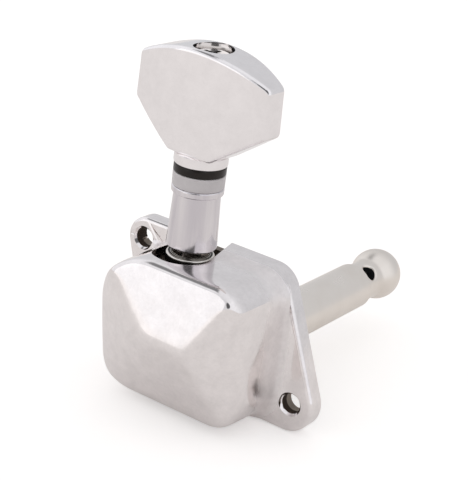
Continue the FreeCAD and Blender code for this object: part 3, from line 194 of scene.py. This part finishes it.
def outside_casting(p):
    """How far each point in mm lies outside the buffed casting, below 0 inside it. The box
    is the smooth maximum of its eight planes, with tight ridges and softer rims, and its
    left wall bellies out, back by BELLY times the square of the distance from BELLY_HEIGHT.
    It flares into the flange as the smooth minimum of the two, fading out towards the top."""
    far = {name: p @ np.array(normal, float) - reach
           for name, (normal, reach) in PLANES.items()}
    far["left"] += BELLY * (p[:, 2] - BELLY_HEIGHT) ** 2
    nose = rounder(far["high_facet"], far["low_facet"], RIDGE)
    nose = rounder(nose, far["right_facet"], RIGHT_HIP)
    nose = rounder(nose, far["left_facet"], LEFT_HIP)
    walls = np.max([cornered(far[a], far[b], radius) for a, b, radius in LONG_EDGES], axis=0)
    rim = RIM + RIM_GROWTH * np.clip(RIM_HIGH - p[:, 2], 0, RIM_HIGH - RIM_LOW)
    box = rounder(walls, nose, rim)
    flange = -p[:, 1] - FLANGE_FRONT
    fade = np.clip((FLARE_END - p[:, 2]) / FLARE_FADE, 0, 1)
    flare = rounder(box - flange, np.zeros(len(p)), FLARE)
    return box - flare * fade * fade * (3 - 2 * fade)


SLOPE_STEP = 0.01


def uphill(p):
    """Slope of outside_casting at each point, from its values SLOPE_STEP to both sides."""
    steps = np.eye(3) * SLOPE_STEP
    rises = [outside_casting(p + step) - outside_casting(p - step) for step in steps]
    return np.stack(rises, axis=1) / (2 * SLOPE_STEP)


def rows(items, field, width, kind=np.float32):
    """One field of all items of a mesh, as an array with one row of that width for each."""
    flat = np.empty(len(items) * width, kind)
    items.foreach_get(field, flat)
    return flat.reshape(-1, width)


# Limits of the buffing in mm: the longest edge it leaves on the box and in the flare, and
# where along y the flare starts; how far inside and outside the buffed form a face, an
# edge, or an edge in the flare may lie; how far behind the flange's front a face or an
# edge may have its middle. A sliver has up to half of SLIVER as its area, and FACING is
# the least cosine between a face's normal and the slope.
EDGE, FLARE_EDGE, FLARE_START = 0.5, 0.18, -3.8
FACE_DEEPEST, EDGE_DEEPEST, FLARE_DEEPEST, OUTERMOST = -2.2, -1.0, -0.5, 4.0
FACE_SLACK, EDGE_SLACK = 0.01, 0.05
SLIVER, SLIVER_NEAR, FACING = 1e-3, 0.9, 0.55
SPLITS, SLIDES = 9, 6


def buffed(shape):
    """Rounds the box of the cover. The outer faces in front of the flange are split until
    no edge is longer than EDGE, or FLARE_EDGE near the flange, and their points slide down
    the slope to where outside_casting is 0. Gives the face corners that are to have the
    slope as their normal, each corner's point, and all points."""
    mesh = shape.data
    work = bmesh.new()
    work.from_mesh(mesh)
    for _ in range(SPLITS):
        at = rows(mesh.vertices, "co", 3).astype(float) / MM
        ends = rows(mesh.edges, "vertices", 2, np.int32)
        middle = (at[ends[:, 0]] + at[ends[:, 1]]) / 2
        length = np.linalg.norm(at[ends[:, 0]] - at[ends[:, 1]], axis=1)
        depth = outside_casting(middle)
        in_flare = (middle[:, 1] > FLARE_START) & (depth > FLARE_DEEPEST)
        ready = (depth > EDGE_DEEPEST) & (depth < OUTERMOST)
        ready &= middle[:, 1] < EDGE_SLACK - FLANGE_FRONT
        ready &= length > np.where(in_flare, FLARE_EDGE, EDGE)
        if not ready.any():
            break
        work.edges.ensure_lookup_table()
        chosen = [work.edges[i] for i in np.flatnonzero(ready)]
        bmesh.ops.subdivide_edges(work, edges=chosen, cuts=1)
        bmesh.ops.triangulate(work, faces=[f for f in work.faces if len(f.verts) > 3])
        work.to_mesh(mesh)
    work.free()
    at = rows(mesh.vertices, "co", 3).astype(float) / MM
    corners = rows(mesh.loops, "vertex_index", 1, np.int32).ravel()
    faces = corners.reshape(-1, 3)
    a, b, c = (at[faces[:, i]] for i in range(3))
    middle = (a + b + c) / 3
    facing = np.cross(b - a, c - a)
    size = np.linalg.norm(facing, axis=1)
    slope = uphill(middle)
    slope /= np.linalg.norm(slope, axis=1)[:, None]
    depth = outside_casting(middle)
    outer = (depth > FACE_DEEPEST) & (depth < OUTERMOST)
    outer &= (facing * slope).sum(1) > FACING * size
    outer |= (size < SLIVER) & (np.abs(depth) < SLIVER_NEAR)
    outer &= middle[:, 1] < FACE_SLACK - FLANGE_FRONT
    moved = np.zeros(len(at), bool)
    moved[faces[outer].ravel()] = True
    p = at[moved]
    for _ in range(SLIDES):
        slope = uphill(p)
        p = p - outside_casting(p)[:, None] * slope / (slope ** 2).sum(1)[:, None]
    at[moved] = p
    mesh.vertices.foreach_set("co", (at * MM).astype(np.float32).ravel())
    mesh.update()
    return np.repeat(outer, 3), corners, at


def even_out(shape, outer, corners, at):
    """Keeps the evened normals everywhere but on the buffed faces, which get the slope."""
    mesh = shape.data
    bpy.context.view_layer.objects.active = shape
    bpy.ops.object.shade_smooth_by_angle(angle=CREASE)
    bpy.ops.object.modifier_apply(modifier="even_normals")
    normals = rows(mesh.corner_normals, "vector", 3)
    slope = uphill(at[corners[outer]])
    normals[outer] = slope / np.linalg.norm(slope, axis=1)[:, None]
    mesh.normals_split_custom_set(normals.tolist())


cover = shining_copy("cover", "chrome_cover")
cover.data.materials.append(cover_chrome)
even_out(cover, *buffed(cover))


def bare_bore_with_painted_shade(name, colour, stain_colour, stain_mm):
    """A bore that the plating did not reach: dull, its colour painted near-black as shade, with
    stains of stain_mm.
    """
    material, tree, here = new_material(name)
    stain = add(tree, "TexNoise",
                {"Scale": 1 / (stain_mm * MM), "Detail": 4.0, "Roughness": 0.6}, here)
    tint = add(tree, "Mix", {"A": linear(colour), "B": linear(stain_colour)},
               {"Factor": (stain, "Fac")}, data_type="RGBA")
    dull = add(tree, "MapRange", {"To Min": 0.6, "To Max": 0.9}, {"Value": (stain, "Fac")})
    bump = add(tree, "Bump", {"Strength": 0.5, "Distance": 0.02 * MM}, {"Height": (stain, "Fac")})
    shader = add(tree, "BsdfPrincipled", {"IOR": 1.5, "Specular IOR Level": 0.25},
                 {"Base Color": (tint, "Result"), "Roughness": (dull, "Result"),
                  "Normal": (bump, "Normal")})
    add(tree, "OutputMaterial", links={"Surface": (shader, "BSDF")})
    return material


EAR_HOLES, EAR_HOLE_RADIUS = ((-14.5, 0, 9.35), (9.2, 0, -3.9)), 1.25
BORE_PLAY = 0.02
ACROSS = 0.3


def line_bores(shape, axis, places, radius):
    """Gives the second slot to the walls of the bores: the faces whose middle is within
    radius and BORE_PLAY of an axis and whose normal has less than ACROSS along it."""
    mesh = shape.data
    middle = rows(mesh.polygons, "center", 3) / MM
    axis = np.array(axis) / np.linalg.norm(axis)
    across = np.abs(rows(mesh.polygons, "normal", 3) @ axis) < ACROSS
    inside = np.zeros(len(middle), bool)
    for place in places:
        away = middle - np.array(place)
        away -= (away @ axis)[:, None] * axis
        inside |= np.linalg.norm(away, axis=1) < radius + BORE_PLAY
    mesh.polygons.foreach_set("material_index", (inside & across).astype(np.int32))


# The walls of the ear holes get painted shade: near-black with brown stains, standing for the dark
# inside of the holes.
cover.data.materials.append(
    bare_bore_with_painted_shade("bare_zinc_painted_shade_in_ear_holes", "17120f", "4d3a2c", stain_mm=0.7))
line_bores(cover, (0, 1, 0), EAR_HOLES, EAR_HOLE_RADIUS)
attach(cover, "case")
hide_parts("cover")


# Base plate and small steel parts: the plate pressed from sheet steel with two tabs that
# carry the stem, the washers, and the screw on the wheel. Thinly zinc plated and
# aged to a brownish grey.
def zinc_plate(name, colour, patch_colour, roughness):
    """Zinc plate: blotches of 1.6 mm shift its colour and its roughness together, and a
    bump of 0.12 mm gives the fine crystals of the plate."""
    material, tree, here = new_material(name)
    patch = add(tree, "TexNoise", {"Scale": 1 / (1.6 * MM), "Detail": 4.0, "Roughness": 0.6}, here)
    tint = add(tree, "Mix", {"A": linear(colour), "B": linear(patch_colour)},
               {"Factor": (patch, "Fac")}, data_type="RGBA")
    milk = add(tree, "MapRange", {"From Min": 0.3, "From Max": 0.7,
                                  "To Min": roughness - 0.06, "To Max": roughness + 0.08},
               {"Value": (patch, "Fac")})
    crystal = add(tree, "TexNoise",
                  {"Scale": 1 / (0.12 * MM), "Detail": 3.0, "Roughness": 0.6}, here)
    bump = add(tree, "Bump", {"Strength": 0.5, "Distance": 0.004 * MM},
               {"Height": (crystal, "Fac")})
    shader = add(tree, "BsdfPrincipled", {"Metallic": 1.0},
                 {"Base Color": (tint, "Result"), "Roughness": (milk, "Result"),
                  "Normal": (bump, "Normal")})
    add(tree, "OutputMaterial", links={"Surface": (shader, "BSDF")})
    return material


def wear(node, material):
    """Gives the carried-over node its finish."""
    nodes[node].data.materials.clear()
    nodes[node].data.materials.append(material)


plate_zinc = zinc_plate("aged_zinc_on_pressed_steel", "8f857b", "5d534a", roughness=0.4)
for node in ("base_plate", "wheel_washer", "wheel_screw_washer", "wheel_screw", "thrust_washer"):
    wear(node, plate_zinc)


# Bush of the post and worm wheel: turned and hobbed from free-cutting brass, left bare,
# so they keep the rings of the tool and a thin brown film.
def band_scale(pitch_mm):
    """Scale of a wave texture whose bands are pitch_mm apart: it repeats every pi over
    10 times its scale."""
    return math.pi / (10 * pitch_mm * MM)


def turned_brass(name, colour, film_colour, ring_mm):
    """Bare turned brass: rings a tool feed apart run round the post's axis as waves of
    y, and a film of 2 mm patches darkens the colour where it is thickest."""
    material, tree, here = new_material(name)
    film = add(tree, "TexNoise", {"Scale": 1 / (2.0 * MM), "Detail": 5.0, "Roughness": 0.6}, here)
    tint = add(tree, "Mix", {"A": linear(colour), "B": linear(film_colour)},
               {"Factor": (film, "Fac")}, data_type="RGBA")
    feed = add(tree, "TexWave", {"Scale": band_scale(ring_mm), "Distortion": 0.4, "Detail": 1.0},
               here, wave_type="BANDS", bands_direction="Y")
    rings = add(tree, "Bump", {"Strength": 0.4, "Distance": 0.006 * MM}, {"Height": (feed, "Fac")})
    dull = add(tree, "MapRange", {"To Min": 0.24, "To Max": 0.42}, {"Value": (film, "Fac")})
    shader = add(tree, "BsdfPrincipled", {"Metallic": 1.0},
                 {"Base Color": (tint, "Result"), "Roughness": (dull, "Result"),
                  "Normal": (rings, "Normal")})
    add(tree, "OutputMaterial", links={"Surface": (shader, "BSDF")})
    return material


wear("post_bush", turned_brass("turned_brass_bush", "d2b27a", "b08d52", ring_mm=0.16))
wear("worm_wheel", turned_brass("hobbed_brass_wheel", "d6b574", "ad8848", ring_mm=0.12))


# String post: turned from steel in one piece with its waist and ball end, cross drilled
# for the string, then satin nickel plated. Faint tool rings run round it, drawn three
# times as far apart as a real tool's feed so that they show.
STRING_HOLE, STRING_HOLE_RADIUS = (0, 27.3, 0), 1.0
STRING_HOLE_AXIS = (0.601815, 0, 0.798636)


def satin_nickel(name, colour, warm_colour, ring_mm):
    """Satin nickel over turned steel: rings a tool feed apart as waves of y stretch the
    light along the post, and clouds of 5 mm let the nickel's warm tone come and go and
    its polish with it."""
    material, tree, here = new_material(name)
    cloud = add(tree, "TexNoise", {"Scale": 1 / (5 * MM), "Detail": 3.0, "Roughness": 0.5}, here)
    tint = add(tree, "Mix", {"A": linear(colour), "B": linear(warm_colour)},
               {"Factor": (cloud, "Fac")}, data_type="RGBA")
    feed = add(tree, "TexWave", {"Scale": band_scale(ring_mm)}, here,
               wave_type="BANDS", bands_direction="Y")
    rings = add(tree, "Bump", {"Strength": 0.15, "Distance": 0.0015 * MM},
                {"Height": (feed, "Fac")})
    dull = add(tree, "MapRange",
               {"From Min": 0.3, "From Max": 0.7, "To Min": 0.26, "To Max": 0.38},
               {"Value": (cloud, "Fac")})
    shader = add(tree, "BsdfPrincipled", {"Metallic": 1.0},
                 {"Base Color": (tint, "Result"), "Roughness": (dull, "Result"),
                  "Normal": (rings, "Normal")})
    add(tree, "OutputMaterial", links={"Surface": (shader, "BSDF")})
    return material


post = shining_copy("string_post", "nickel_string_post")
post.data.materials.append(satin_nickel("satin_nickel_post", "f5efe9", "e0d8cf", ring_mm=0.3))
# The walls of the string hole get painted shade, near-black, standing for the dark inside of the
# bore.
post.data.materials.append(
    bare_bore_with_painted_shade("painted_shade_in_string_hole", "0c0e10", "1d2023", stain_mm=0.5))
line_bores(post, STRING_HOLE_AXIS, [STRING_HOLE], STRING_HOLE_RADIUS)
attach(post, "post")
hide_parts("string_post")


# Stem with its worm: one steel bar, the thread whirled and the flats milled, zinc plated
# and greased, so it is a shade lighter and shinier than the aged plate.
wear("worm_shaft", zinc_plate("oiled_zinc_on_worm_steel", "a6a8aa", "8f9092", roughness=0.24))


# Bush round the stem: a steel ring turned with a collar, bright nickel plated; its top
# shows in the notch of the cover.
TO_STEM = (5.0 * MM, 5.6 * MM, 0.0)


def grooved_nickel(name, colour, groove_shade_colour, groove_mm):
    """Bright nickel over turned grooves: rings groove_mm apart round the stem's axis, which
    TO_STEM moves to the middle, with near-black painted shade in the grooves standing for the dark
    reflections there, a bump across them and a bright land between."""
    material, tree, here = new_material(name)
    centred = add(tree, "Mapping", {"Location": TO_STEM}, here)
    groove = add(tree, "TexWave",
                 {"Scale": band_scale(groove_mm), "Distortion": 0.2, "Detail": 1.0},
                 {"Vector": (centred, "Vector")}, wave_type="RINGS", rings_direction="Z")
    land = add(tree, "MapRange", {"From Min": 0.3, "From Max": 0.7}, {"Value": (groove, "Fac")})
    tint = add(tree, "Mix", {"A": linear(groove_shade_colour), "B": linear(colour)},
               {"Factor": (land, "Result")}, data_type="RGBA")
    dull = add(tree, "MapRange", {"To Min": 0.35, "To Max": 0.12}, {"Value": (land, "Result")})
    bump = add(tree, "Bump", {"Strength": 0.8, "Distance": 0.03 * MM}, {"Height": (groove, "Fac")})
    shader = add(tree, "BsdfPrincipled", {"Metallic": 1.0},
                 {"Base Color": (tint, "Result"), "Roughness": (dull, "Result"),
                  "Normal": (bump, "Normal")})
    add(tree, "OutputMaterial", links={"Surface": (shader, "BSDF")})
    return material


bush = shining_copy("stem_bush", "nickel_stem_bush")
# The near-black in the grooves is painted shade and painted reflection of the dark hole, not oil.
bush.data.materials.append(
    grooved_nickel("grooved_nickel_bush_painted_shade", "dbd6d0", "0f0b08", groove_mm=0.5))
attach(bush, "case")
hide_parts("stem_bush")


# Barrel: a tapered tube with a rolled lip, turned from brass and chrome plated. The
# lathe cloth has left faint streaks along it.
def drawn_chrome(name, colour, streak_colour, streak_mm):
    """Chrome over a tube polished lengthwise: streaks as fine as streak_mm across and
    twenty times as long along z shift the colour, the polish and the bump together."""
    material, tree, here = new_material(name)
    stretch = add(tree, "Mapping", {"Scale": (1.0, 1.0, 0.05)}, here)
    streak = add(tree, "TexNoise",
                 {"Scale": 1 / (streak_mm * MM), "Detail": 4.0, "Roughness": 0.6},
                 {"Vector": (stretch, "Vector")})
    tint = add(tree, "Mix", {"A": linear(colour), "B": linear(streak_colour)},
               {"Factor": (streak, "Fac")}, data_type="RGBA")
    polish = add(tree, "MapRange",
                 {"From Min": 0.3, "From Max": 0.7, "To Min": 0.08, "To Max": 0.22},
                 {"Value": (streak, "Fac")})
    bump = add(tree, "Bump", {"Strength": 0.4, "Distance": 0.01 * MM}, {"Height": (streak, "Fac")})
    shader = add(tree, "BsdfPrincipled", {"Metallic": 1.0},
                 {"Base Color": (tint, "Result"), "Roughness": (polish, "Result"),
                  "Normal": (bump, "Normal")})
    add(tree, "OutputMaterial", links={"Surface": (shader, "BSDF")})
    return material


barrel = shining_copy("barrel", "chrome_barrel")
barrel.data.materials.append(
    drawn_chrome("chrome_on_turned_barrel", "f5f1f0", "b7b1ba", streak_mm=1.3))
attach(barrel, "case")
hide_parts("barrel")


# Spacer ring: cut from milky nylon rod, so light goes a little way in and its edge looks
# soft. Friction ring above it: moulded black rubbery plastic that brakes the key.
def moulded_ring(name, colour, worn_colour, roughness, milk, shine):
    """Nylon or rubber: 0.8 mm clouds shift its colour, 0.15 mm grains its roughness and
    bump, milk is the share of the light that goes in and comes out again, and shine the
    strength of its mirror light, 0.5 for a clean surface."""
    material, tree, here = new_material(name)
    cloud = add(tree, "TexNoise", {"Scale": 1 / (0.8 * MM), "Detail": 3.0, "Roughness": 0.5}, here)
    tint = add(tree, "Mix", {"A": linear(colour), "B": linear(worn_colour)},
               {"Factor": (cloud, "Fac")}, data_type="RGBA")
    grain = add(tree, "TexNoise",
                {"Scale": 1 / (0.15 * MM), "Detail": 3.0, "Roughness": 0.6}, here)
    dull = add(tree, "MapRange", {"To Min": roughness - 0.08, "To Max": roughness + 0.08},
               {"Value": (grain, "Fac")})
    bump = add(tree, "Bump", {"Strength": 0.4, "Distance": 0.006 * MM}, {"Height": (grain, "Fac")})
    shader = add(tree, "BsdfPrincipled",
                 {"IOR": 1.52, "Specular IOR Level": shine, "Subsurface Weight": milk,
                  "Subsurface Radius": (1.0, 1.0, 1.0), "Subsurface Scale": 0.6 * MM},
                 {"Base Color": (tint, "Result"), "Roughness": (dull, "Result"),
                  "Normal": (bump, "Normal")})
    add(tree, "OutputMaterial", links={"Surface": (shader, "BSDF")})
    return material


for node, name, body, slot, finish in (
        ("spacer_ring", "nylon_spacer_ring", "case", "pale_nylon",
         moulded_ring("milky_nylon", "c9c5c6", "bcb7b9", roughness=0.36, milk=0.2, shine=0.5)),
        ("friction_ring", "black_friction_ring", "stem", "black_plastic",
         moulded_ring("black_rubbery_plastic", "080504", "1d120c",
                      roughness=0.3, milk=0.0, shine=0.3))):
    ring = shining_copy(node, name)
    ring.data.materials.append(finish)
    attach(ring, body)
    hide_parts(node)


# Key: the button that fingers turn, a zinc casting with two bulged faces and a collar,
# buffed and chrome plated like the cover.
key = shining_copy("key", "chrome_key")
key.data.materials.append(
    plated_casting("chrome_plate_on_cast_key", "f6f2f2", "efebeb", wave_mm=9.0,
                   wave_depth_mm=0.008, dull=0.15, bright=0.07))
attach(key, "stem")
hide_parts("key")


# Screw in the top of the key: a small cross-head steel screw, bright nickel plated,
# that clamps the key on the flats of the stem.
def recessed_nickel(name, top_mm, colour, recess_shade_colour, depth_mm):
    """Bright nickel with painted shade in the cross: the colour goes from clean at the height
    top_mm of the head to a dark painted shade at depth_mm below it, flecked by 0.5 mm specks, and
    the polish dulls with it."""
    material, tree, here = new_material(name)
    part = add(tree, "SeparateXYZ", links=here)
    down = add(tree, "MapRange", {"From Min": (top_mm - depth_mm) * MM, "From Max": top_mm * MM,
                                  "To Min": 1.0, "To Max": 0.0}, {"Value": (part, "Z")})
    speck = add(tree, "TexNoise", {"Scale": 1 / (0.5 * MM), "Detail": 4.0, "Roughness": 0.6}, here)
    # Painted shade: darker the deeper it lies in the cross, flecked by the specks.
    recess_shade = add(tree, "Math", {2: -0.1}, {0: (down, "Result"), 1: (speck, "Fac")},
               operation="MULTIPLY_ADD")
    full = add(tree, "MapRange", {"From Max": 0.3}, {"Value": (recess_shade, "Value")})
    tint = add(tree, "Mix", {"A": linear(colour), "B": linear(recess_shade_colour)},
               {"Factor": (full, "Result")}, data_type="RGBA")
    dull = add(tree, "MapRange", {"To Min": 0.12, "To Max": 0.5}, {"Value": (full, "Result")})
    bump = add(tree, "Bump", {"Strength": 0.4, "Distance": 0.01 * MM}, {"Height": (speck, "Fac")})
    shader = add(tree, "BsdfPrincipled", {"Metallic": 1.0},
                 {"Base Color": (tint, "Result"), "Roughness": (dull, "Result"),
                  "Normal": (bump, "Normal")})
    add(tree, "OutputMaterial", links={"Surface": (shader, "BSDF")})
    return material


screw = shining_copy("key_screw", "nickel_key_screw")
head_top = float(rows(screw.data.vertices, "co", 3)[:, 2].max()) / MM
screw.data.materials.append(
    recessed_nickel("nickel_with_painted_shade_in_cross", head_top, "e6e2dc", "2a211a", depth_mm=0.5))
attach(screw, "stem")
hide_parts("key_screw")


# Floor: one pale matt sheet of paper under the object. The camera, and the metal, see it
# a little lighter than its own colour, up to white, and it keeps the object's soft shadow.
FLOOR_HALF = 1500 * MM
corners = np.array([[-1, -1], [1, -1], [1, 1], [-1, 1]]) * FLOOR_HALF
level = np.full((4, 1), cad_box[0][2])
floor_mesh = bpy.data.meshes.new("floor")
floor_mesh.from_pydata(np.hstack([corners, level]).tolist(), [], [(0, 1, 2, 3)])
floor = bpy.data.objects.new("floor", floor_mesh)
scene.collection.objects.link(floor)
paper, tree, here = new_material("pale_matt_paper")
fibre = add(tree, "TexNoise", {"Scale": 1 / (8 * MM), "Detail": 5.0}, here)
tint = add(tree, "Mix", {"A": linear("e9e6e5"), "B": linear("e7e4e3")},
           {"Factor": (fibre, "Fac")}, data_type="RGBA")
matt = add(tree, "BsdfDiffuse", links={"Color": (tint, "Result")})
ray = add(tree, "LightPath")
mirrored = add(tree, "Math", {1: 0.08}, {0: (ray, "Is Glossy Ray")}, operation="MULTIPLY")
lift = add(tree, "Math", {1: 0.38}, {0: (ray, "Is Camera Ray"), 2: (mirrored, "Value")},
           operation="MULTIPLY_ADD")
glow = add(tree, "Emission", links={"Strength": (lift, "Value")})
both = add(tree, "AddShader", links={0: (matt, "BSDF"), 1: (glow, "Emission")})
add(tree, "OutputMaterial", links={"Surface": (both, "Shader")})
floor_mesh.materials.append(paper)


# Light: a white room and one large soft box low in front on the left. The metal sees the
# room greyer behind and in front, a dark beam overhead on the left, which draws the dark
# line along the cover's top, and a dark card 40 degrees wide in front on the right.
CARD_WAY = (0.47, -0.79, 0.39)
WHITE, MIRRORED_WHITE = (1.0, 1.0, 1.0, 1.0), (0.95, 0.965, 1.0, 1.0)
BOX_BRIGHTNESS = 0.36
BOX_AT, BOX_AIM = (-140, -238, 66), (-3, 0, 10)
world = bpy.data.worlds.new("white_room")
scene.world = world
world.use_nodes = True
tree = world.node_tree
tree.nodes.clear()
ray = add(tree, "LightPath")
way = add(tree, "TexCoord")
part = add(tree, "SeparateXYZ", links={"Vector": (way, "Generated")})
high = add(tree, "MapRange", {"From Min": 0.7, "From Max": 0.82, "To Max": 0.75},
           {"Value": (part, "Z")}, interpolation_type="SMOOTHSTEP")
left = add(tree, "MapRange", {"From Min": -0.44, "From Max": -0.3, "To Min": 1.0, "To Max": 0.08},
           {"Value": (part, "X")}, interpolation_type="SMOOTHSTEP")
beam = add(tree, "Math", links={0: (high, "Result"), 1: (left, "Result")}, operation="MULTIPLY")
overhead = add(tree, "Math", {0: 1.0}, {1: (beam, "Value")}, operation="SUBTRACT")
behind = add(tree, "MapRange", {"From Min": 0.2, "From Max": 0.9, "To Min": 1.0, "To Max": 0.68},
             {"Value": (part, "Y")}, interpolation_type="SMOOTHSTEP")
front = add(tree, "MapRange", {"From Min": -0.85, "From Max": -0.4, "To Min": 0.82, "To Max": 1.0},
            {"Value": (part, "Y")}, interpolation_type="SMOOTHSTEP")
toward = add(tree, "VectorMath", {1: CARD_WAY}, {0: (way, "Generated")}, operation="DOT_PRODUCT")
card = add(tree, "MapRange", {"From Min": 0.915, "From Max": 0.95, "To Min": 1.0, "To Max": 0.15},
           {"Value": (toward, "Value")}, interpolation_type="SMOOTHSTEP")
shade = overhead
for darker in (front, behind, card):
    shade = add(tree, "Math", links={0: (shade, "Value"), 1: (darker, "Result")},
                operation="MULTIPLY")
light = add(tree, "Background", {"Color": WHITE, "Strength": 0.87})
mirrored = add(tree, "Background", {"Color": MIRRORED_WHITE}, {"Strength": (shade, "Value")})
white = add(tree, "Background", {"Color": WHITE, "Strength": 1.0})
shiny = add(tree, "MixShader", links={0: (ray, "Is Glossy Ray"), 1: (light, "Background"),
                                      2: (mirrored, "Background")})
clear = add(tree, "Math", links={0: (ray, "Is Camera Ray"), 1: (ray, "Is Transmission Ray")},
            operation="MAXIMUM")
room = add(tree, "MixShader", links={0: (clear, "Value"), 1: (shiny, "Shader"),
                                     2: (white, "Background")})
add(tree, "OutputWorld", links={"Surface": (room, "Shader")})

soft_box = bpy.data.lights.new("front_left_box", "AREA")
soft_box.shape = "RECTANGLE"
soft_box.size = 260 * MM
soft_box.size_y = 170 * MM
soft_box.energy = BOX_BRIGHTNESS * math.pi * soft_box.size * soft_box.size_y
holder = bpy.data.objects.new("front_left_box", soft_box)
holder.location = Vector(BOX_AT) * MM
aim = Vector(BOX_AIM) * MM - holder.location
holder.rotation_euler = aim.to_track_quat("-Z", "Y").to_euler()
scene.collection.objects.link(holder)


# Camera: 0.18 m from the object's middle, 22 degrees above it and 33 degrees to its right,
# rolled 7 degrees, as the photograph was taken. Fitted to the photograph with the sizes.
CAMERA_AT = (84.980, -134.801, 76.862)
right = (0.80534996, 0.58103624, 0.11750884)
up = (-0.30758244, 0.24011945, 0.92072563)
back = (0.5067588, -0.77765001, 0.37209674)
lens = bpy.data.cameras.new("camera")
lens.sensor_fit = "VERTICAL"
lens.sensor_height = 36.0
lens.lens = 110.0433
lens.clip_start = 0.005
lens.clip_end = 10.0
camera = bpy.data.objects.new("camera", lens)
turn = Matrix((right, up, back)).transposed().to_4x4()
camera.matrix_world = Matrix.Translation(Vector(CAMERA_AT) * MM) @ turn
scene.collection.objects.link(camera)
scene.camera = camera
scene.view_settings.view_transform = "Standard"
